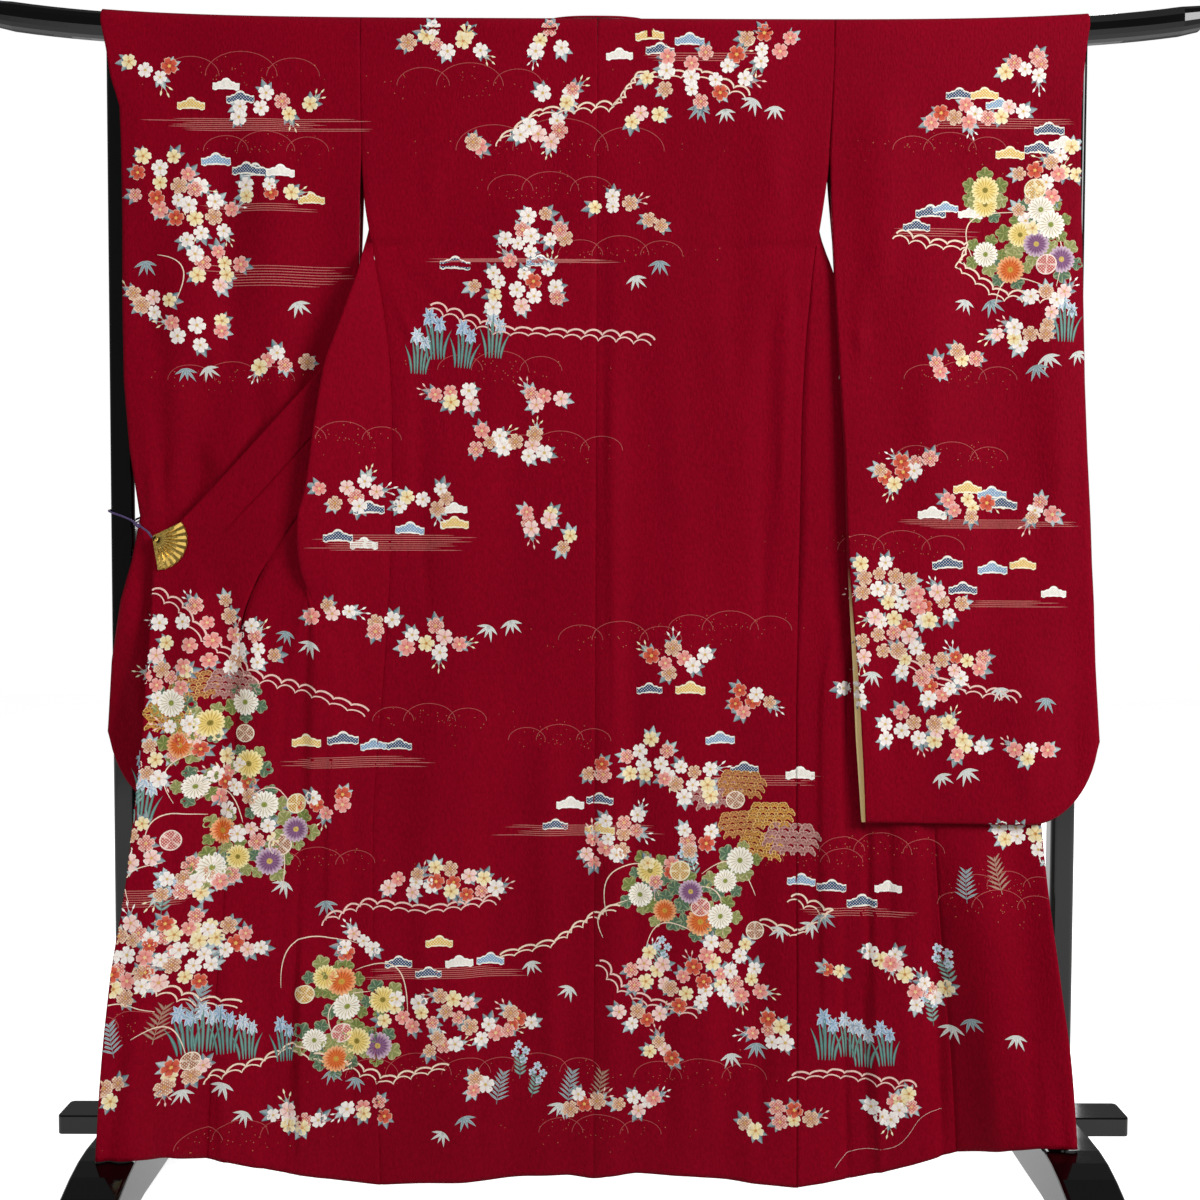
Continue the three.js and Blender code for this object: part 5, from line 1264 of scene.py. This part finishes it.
BAMBOOS = [
    (-630, 1341), (-421, 1287), (-547, 1195), (-575, 1192), (-120, 840), (-149, 833), (-430, 825),
    (-395, 811), (-432, 476), (-376, 448), (-91, 355), (-34, 319), (-369, 210), (-562, 203), (-512, 203),
    (-334, 196), (-484, 159), (-48, 153), (-184, 138), (-213, 116), (219, 1568), (143, 1558), (247, 1558),
    (178, 1554), (88, 1344), (54, 1323), (515, 1290), (550, 1290), (670, 1219), (628, 1214), (614, 1200),
    (388, 771), (565, 750), (629, 736), (517, 636), (482, 629), (321, 428), (307, 414), (264, 407),
    (522, 292), (501, 278), (579, 278), (230, 241), (194, 226),
]
IRISES = [
    (-226, 1253), (-142, 1253), (-184, 1239), (-247, 1229), (-636, 633), (-615, 612), (-561, 296),
    (-536, 294), (-511, 289), (-483, 275), (-433, 268), (655, 1277), (329, 270), (358, 270), (408, 263),
    (379, 259),
]
CHRYSANTHEMUMS = [
    (-586, 740, 0), (-487, 740, 0), (-537, 711, 1), (-572, 683, 2), (-481, 655, 1), (-552, 626, 0),
    (-460, 598, 0), (-517, 562, 2), (-418, 562, 3), (-496, 526, 1), (-453, 519, 3), (-531, 512, 0),
    (-376, 355, 1), (-355, 347, 2), (-298, 319, 1), (-348, 311, 0), (-391, 268, 0), (-334, 261, 1),
    (-305, 254, 3), (-362, 239, 2), (541, 1456, 1), (541, 1436, 1), (618, 1429, 0), (632, 1408, 0),
    (590, 1394, 1), (612, 1381, 3), (542, 1367, 0), (647, 1360, 3), (577, 1346, 2), (206, 514, 0),
    (79, 499, 1), (185, 485, 0), (136, 471, 3), (65, 464, 0), (100, 442, 2), (178, 435, 0), (150, 428, 2),
]
BALLS = [
    (-487, 697), (-417, 598), (-580, 555), (-439, 541), (-404, 333), (-355, 275), (-554, 253), (610, 1457),
    (626, 1353), (199, 600), (121, 500), (150, 449), (228, 414),
]
CLUMPS = [
    (-558, 754), (-508, 754), (-593, 711), (206, 614), (170, 600), (248, 571), (206, 557), (277, 536),
    (235, 528),
]
SPRAYS = [
    (-629, 626, 1), (-588, 483, 1), (-547, 325, 0), (-590, 311, 0), (-647, 296, 0), (-106, 225, 1),
    (-84, 197, 1), (-134, 189, 0), (-34, 189, 0), (135, 514, 1), (562, 501, 0), (519, 486, 0), (93, 377, 1),
    (492, 371, 1), (472, 314, 1), (9, 189, 0),
]
SWEEPS = [  # x z wide high turn
    (-575, 560, 90, 34, 0.6), (-520, 590, 70, 26, -0.5), (-470, 520, 110, 40, -0.9), (-560, 640, 80, 30, 1.1),
    (-610, 500, 66, 24, 0.9), (-450, 600, 58, 20, -0.3), (-385, 370, 120, 46, 0.5), (-300, 330, 96, 38, -0.7),
    (-340, 300, 80, 30, 0.9), (60, 470, 110, 42, 0.7), (150, 440, 90, 36, -0.8), (110, 400, 76, 26, 0.3),
    (190, 480, 84, 30, -0.4), (30, 430, 64, 22, 1.0), (555, 1390, 90, 40, 0.9), (610, 1360, 96, 44, -0.9),
    (590, 1310, 70, 26, 0.4), (-600, 1330, 70, 26, -1.2), (-640, 310, 100, 34, 0.4), (-590, 280, 70, 26, -0.5)]
CLOUDS = [
    [(-620, 895), (-578, 874), (-536, 825), (-473, 775), (-388, 754), (-318, 726)],
    [(-135, 1522), (-79, 1564), (32, 1571), (59, 1612), (143, 1619), (212, 1586)],
    [(-232, 1294), (-177, 1274), (-135, 1260), (-79, 1260), (5, 1254), (82, 1247)],
    [(-533, 224), (-462, 239), (-419, 261), (-291, 203), (-205, 225)],
    [(-376, 434), (-319, 455), (-234, 448), (-134, 456)],
    [(-134, 377), (-106, 384), (-49, 399), (-6, 427), (36, 449)],
    [(8, 370), (37, 334), (80, 313), (151, 298)],
    [(278, 464), (335, 443), (292, 414), (235, 428)],
    [(280, 212), (337, 219), (394, 212), (451, 205)],
    [(416, 1394), (465, 1380), (521, 1380), (507, 1353), (564, 1311), (648, 1305)],
    [(437, 799), (487, 771), (544, 757), (593, 750)],
    [(-660, 368), (-617, 375), (-547, 333), (-490, 325)],
]


FLOWER_APART = 15.5
GOLDEN_TURN = 2.39996


def spread(x, z, wide, high, count, r):
    """count points in an ellipse, on a spiral that turns by the golden angle and goes out as the square
    root of the count. The ellipse grows until the points are a flower apart on average."""
    need = math.sqrt(max(1.0, count * FLOWER_APART ** 2 / (math.pi * wide * high / 4)))
    wide, high = wide * need, high * need
    k = np.arange(count) + 0.5
    far, turn = np.sqrt(k / count), k * GOLDEN_TURN + r.uniform(0, 6.3)
    return (x + wide / 2 * far * np.cos(turn) + r.normal(0, 1.5, count),
            z + high / 2 * far * np.sin(turn) + r.normal(0, 1.5, count), wide, high)


def blossom_items(clusters, r):
    """Blossoms of each cluster with leaves and buds round them."""
    flower, dotted, leaf, bud = blossom(), blossom(5), leaves(), buds()
    flowers, greens = [], []
    for x, z, wide, high, count in clusters:
        xs, zs, wide, high = spread(x, z, wide, high, count, r)
        for k, (a, b) in enumerate(zip(xs, zs)):
            kind = r.choice(7, p=[0.3, 0.12, 0.16, 0.08, 0.08, 0.15, 0.11])
            shape = dotted if kind >= 5 else flower
            flowers.append((shape, a, b, r.uniform(0, 1.26), r.uniform(0.8, 1.06), kind, 2 + k % 4))
        for k, (a, b) in enumerate(zip(xs, zs)):
            out = math.atan2((b - z) / high, (a - x) / wide) - math.pi / 2 + r.uniform(-0.6, 0.6)
            if k >= count // 3:
                greens.append((leaf, a, b, out, r.uniform(0.85, 1.05), r.integers(3), k % 2))
            if k >= count // 2 and k % 3 == 0:
                greens.append((bud, a - 9 * math.sin(out), b + 9 * math.cos(out), out, r.uniform(0.85, 1.1),
                               3 + r.integers(3), 1))
    return flowers, greens


def plant_items(r):
    """Pines, bamboo, irises, grasses, bells, chrysanthemums with their leaves, balls and clumps."""
    pine_shape, shoot, flag, stems, bell, head = pine(), bamboo(), iris(), grass(), bells(), chrysanthemum()
    lobed, checked, bank = fan_leaf(), ball(), clump()
    items = []
    for k, (x, z) in enumerate(PINES):
        items.append((pine_shape, x, z - 5, r.uniform(-0.06, 0.06), r.uniform(0.8, 0.98), (0, 1, 2, 3, 1)[k % 5],
                      k % 3))
    first = len(PINE_PAINTS)
    for k, (x, z) in enumerate(BAMBOOS):
        items.append((shoot, x, z + 13, r.uniform(-0.5, 0.5), r.uniform(0.85, 1.02), first + (0 if k % 3 else 3), 1))
    for k, (x, z) in enumerate(IRISES):
        items.append((flag, x, z, r.uniform(-0.1, 0.1), r.uniform(1.15, 1.35), first + (2 if k % 2 else 1), 1))
    for x, z, kind in SPRAYS:
        items.append((bell if kind else stems, x, z, r.uniform(-0.3, 0.3), r.uniform(0.85, 1.05),
                      first + (4 if kind else r.choice([3, 5])), 1))
    first += len(PLANT_PAINTS)
    for k, (x, z, kind) in enumerate(CHRYSANTHEMUMS):
        items.append((head, x, z, r.uniform(0, 1), r.uniform(0.95, 1.2), first + kind, 3 + k % 3))
        for turn in r.uniform(0, 6.3) + np.arange(5) * 1.26:
            items.append((lobed, x + 22 * math.cos(turn), z + 20 * math.sin(turn), turn - 1.57, r.uniform(0.75, 1.1),
                          first + len(FLOWER_PAINTS) + r.integers(3), k % 3))
    first += len(FLOWER_PAINTS) + len(GREEN_PAINTS)
    for k, (x, z) in enumerate(BALLS):
        items.append((checked, x, z, r.uniform(0, 1), r.uniform(0.8, 1.0), first + k % 3, 4))
    for k, (x, z) in enumerate(CLUMPS):
        items.append((bank, x, z, r.uniform(-0.15, 0.15), r.uniform(0.8, 1), first + len(BALL_PAINTS) + k % 3, k % 2))
    return items


def line_items(r):
    """Cloud outlines in double line, mist, low arcs, cord-like sweeps, a loose basting thread and dots
    of gold."""
    items = []
    for k, run in enumerate(CLOUDS):
        top = scallops(run)
        items.append((strip_shape(top, 2.6), 0, 0, 0, 1, 0 if k % 2 else 3, 1))
        items.append((strip_shape(top - [5.5, 7.5], 1.9), 0, 0, 0, 1, 0 if k % 2 else 3, 1))
    for k, run in enumerate(MISTS):
        items.append((mist(*run, k), 0, 0, 0, 1, 1, 0))
    for x, z, wide in ARCS:
        items.append((arcs(wide), x, z, 0, 1, 2, 0))
    for x, z, wide, high, turn in SWEEPS:
        t = np.linspace(0, 1, 37)
        bow = np.stack([wide * (t - 0.5), high * 4 * t * (1 - t) * (1.3 - 0.6 * t)], 1)
        sweep = strip_shape(bow, 0.5 + 1.1 * np.sin(np.pi * t) ** 0.5)
        items.append((sweep, x, z, turn, 1, 0 if wide > 60 else 3, 2))
    t = np.linspace(0, 1, 41)[:, None]
    basting = np.array([340, 85]) + np.array([150, 85]) * t + np.array([-6, 8]) * np.sin(9 * t)
    items.append((strip_shape(basting, 0.5), 0, 0, 0, 1, 3, 3))
    a = angles(6)
    dot = round_shape(np.stack([np.cos(a), np.sin(a)], 1), [0.01, 1.0], [0, 0])
    for x, z, wide in ARCS:
        for _ in range(40):
            items.append((dot, x + r.normal(0, wide / 3), z + r.normal(4, 11), 0, r.uniform(0.4, 0.75), 4, 0))
    return items


CHEST_BLOSSOMS = [(-250, 1590, 90, 36, 6), (-220, 1520, 60, 40, 5), (255, 1570, 80, 40, 6), (232, 1490, 60, 30, 4)]


def far_lines():
    """Mist, low arcs and a cloud on the sleeves' far layers, and clouds on the fronts' shoulders."""
    sleeves, chest = [], []
    for k, (x, z) in enumerate([(-500, 1545), (500, 1560), (-505, 1180), (510, 1010), (-500, 800), (520, 1330)]):
        sleeves.append((mist(x - 110, x + 110, z, z - 14, 60 + k), 0, 0, 0, 1, 1, 0))
        sleeves.append((arcs(150), x + 20, z + 70, 0, 1, 2, 0))
    for place, run in ((sleeves, [(-610, 1400), (-540, 1385), (-470, 1405), (-400, 1395)]),
                       (sleeves, [(400, 1430), (480, 1415), (560, 1440)]),
                       (chest, [(-300, 1545), (-250, 1555), (-190, 1535)]),
                       (chest, [(200, 1530), (250, 1535), (310, 1520)])):
        place.append((strip_shape(scallops(run), 2.3), 0, 0, 0, 1, 0, 1))
    return sleeves, chest


SLEEVE_MIDDLE = 507.5


def sleeve_mirror(items):
    """A sleeve's motifs again for its far side, mirrored about the sleeve's middle and 25 mm lower."""
    return [(shape, math.copysign(2 * SLEEVE_MIDDLE - abs(x), x), z - 25, -turn, *rest)
            for shape, x, z, turn, *rest in items if 345 < abs(x) < 680 and z > 590]


# ------------------------------------------------------------------ build the cloth

SHEETS, POUCHES = [], []
for side, name, table, sleeve_table, crease_table, seed in [
    (-1, "left", FRONT_LEFT, SLEEVE_LEFT, LEFT_CREASES, 21),
    (1, "right", FRONT_RIGHT, SLEEVE_RIGHT, RIGHT_CREASES, 22),
]:
    back, over, front = body_grid(table, side)
    length = np.concatenate([back, over, front])
    cloth(f"cloth_body_{name}", length, [f"body_back_{name}", f"body_front_{name}"],
          flip=side > 0)
    okumi = okumi_grid(table, side)
    cloth(f"cloth_okumi_{name}", okumi, f"okumi_{name}",
          flip=side > 0, rim=0)
    pouch = sleeve_grid(sleeve_table, side, crease_table, seed + 20)
    cloth(f"cloth_sleeve_{name}", pouch, f"sleeve_{name}",
          flip=side < 0, rim=0,
          lining=SLEEVE_LINING)
    SHEETS += [back, over, front, okumi]
    POUCHES.append(pouch)
band = collar_grid()
cloth("cloth_collar", band, "collar", thick=3.0,
      flip=True, rim=0)

near = Surface(SHEETS + POUCHES)
flowers, greens = blossom_items(BLOSSOMS, rng)
plants = plant_items(rng)
lines = line_items(rng)
plant_paints = np.concatenate([PINE_PAINTS, PLANT_PAINTS, FLOWER_PAINTS, GREEN_PAINTS, BALL_PAINTS, CLUMP_PAINTS])
green_paints = np.concatenate([LEAF_PAINTS, BUD_PAINTS])
lay_shapes("dyed_lines", near, lines, LINE_PAINTS)
lay_shapes("dyed_leaves", near, greens, green_paints)
lay_shapes("dyed_plants", near, plants, plant_paints)
half = len(flowers) // 2
lay_shapes("dyed_blossoms_left", near, flowers[:half], BLOSSOM_PAINTS)
lay_shapes("dyed_blossoms_right", near, flowers[half:], BLOSSOM_PAINTS)
far = Surface(POUCHES, far=True)
sleeve_lines, chest_lines = far_lines()
lay_shapes("dyed_far_lines", far, sleeve_lines, LINE_PAINTS)
lay_shapes("dyed_far_leaves", far, sleeve_mirror(greens), green_paints)
lay_shapes("dyed_far_plants", far, sleeve_mirror(plants), plant_paints)
lay_shapes("dyed_far_blossoms", far, sleeve_mirror(flowers), BLOSSOM_PAINTS)
shoulders = Surface(SHEETS, far=True)
chest, chest_greens = blossom_items(CHEST_BLOSSOMS, rng)
lay_shapes("dyed_chest_lines", shoulders, chest_lines, LINE_PAINTS)
lay_shapes("dyed_chest_leaves", shoulders, chest_greens, green_paints)
lay_shapes("dyed_chest_blossoms", shoulders, chest, BLOSSOM_PAINTS)

# ------------------------------------------------------------------ the fan clips' gilt leaves


PLEATS = 18
BOX_FACES = np.array([[0, 1, 3, 2], [4, 6, 7, 5], [0, 4, 5, 1], [2, 3, 7, 6], [0, 2, 6, 4], [1, 5, 7, 3]])
# Radius and depth of each ring of a fan's leaf and of its rivet
LEAF_RINGS = np.array([(12, 0), (12.4, -0.5), (18, -0.2), (26, -0.2), (34, -0.2), (41.6, -0.2), (42.6, -0.7),
                       (43, 0)])
RIVET_RINGS = np.array([(0.01, -1.9), (1.6, -1.8), (2.6, -1.3), (3.0, -0.6), (3.0, 0.4)])


def turned_out(made):
    """Turns all faces of a mesh of closed shells outwards."""
    work = bmesh.new()
    work.from_mesh(made.data)
    bmesh.ops.recalc_face_normals(work, faces=work.faces)
    work.to_mesh(made.data)
    work.free()


def fan_clip(name, place):
    """A pleated fan over a clip's front plate: a polar grid whose depth zigzags over the pleats and
    whose rim is scalloped, with a raised band at both ends, ten tapering sticks and a rivet at the pivot."""
    x, y, z = place
    front = y - 3.5
    turn = np.radians(np.linspace(35, -88, 4 * PLEATS + 1))
    zig = np.abs(np.linspace(0, PLEATS, 4 * PLEATS + 1) % 2 - 1)
    rim = 1 - 0.02 * zig
    r, band = LEAF_RINGS.T[..., None]
    points = np.stack([x + r * np.cos(turn) * rim, front - 0.3 - 1.6 * zig + band, z + r * np.sin(turn) * rim], -1)
    leaf = add_object(name, points.reshape(-1, 3), grid_faces(*points.shape[:2], flip=True), [GILT], rounded=False)
    wall = leaf.modifiers.new("wall", "SOLIDIFY")
    wall.thickness, wall.offset = 0.4 * MM, 1

    # Sticks: boxes along the way out, wider at the far end
    a = np.radians(np.linspace(33, -86, 10))
    way = np.stack([np.cos(a), 0 * a, np.sin(a)], 1)[:, None]
    side = np.stack([-np.sin(a), 0 * a, np.cos(a)], 1)[:, None]
    far, wide, deep = [g.reshape(8, 1) for g in np.meshgrid([-5, 30], [-1, 1], [-0.7, 0.9], indexing="ij")]
    points = [x, front - 1.6, z] + way * far + side * wide * (0.9 + 0.5 * (far > 0)) + deep * [0, 1, 0]
    faces = BOX_FACES + 8 * np.arange(len(a))[:, None, None]
    bars = add_object(name + "_sticks", points.reshape(-1, 3), faces.reshape(-1, 4), [GILT], rounded=False)
    turned_out(bars)

    r, deep = RIVET_RINGS.T[..., None]
    a = angles(24)
    points = np.stack([x + r * np.cos(a), front - 1 + deep + 0 * a, z + r * np.sin(a)], -1)
    rivet = add_object(name + "_rivet", points.reshape(-1, 3), ring_faces(*points.shape[:2]), [GILT])
    for piece in (leaf, bars, rivet):
        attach(piece, "root")


fan_clip("fan_left", (-613, -41, 966))
fan_clip("fan_right", (611, -9, 966))

# ------------------------------------------------------------------ stand and floor

for node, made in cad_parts.items():
    made.data.materials.clear()
    made.data.materials.append(LACQUER if node.startswith("stand") else BRAID if node.startswith("clip_cord")
                               else GILT if node.startswith("clip") else CREPE)

bpy.ops.mesh.primitive_plane_add(size=14, location=(0, 0, 0))
floor = bpy.context.object
floor.name = "floor"
floor.data.materials.append(make_floor())
floor.visible_diffuse = False
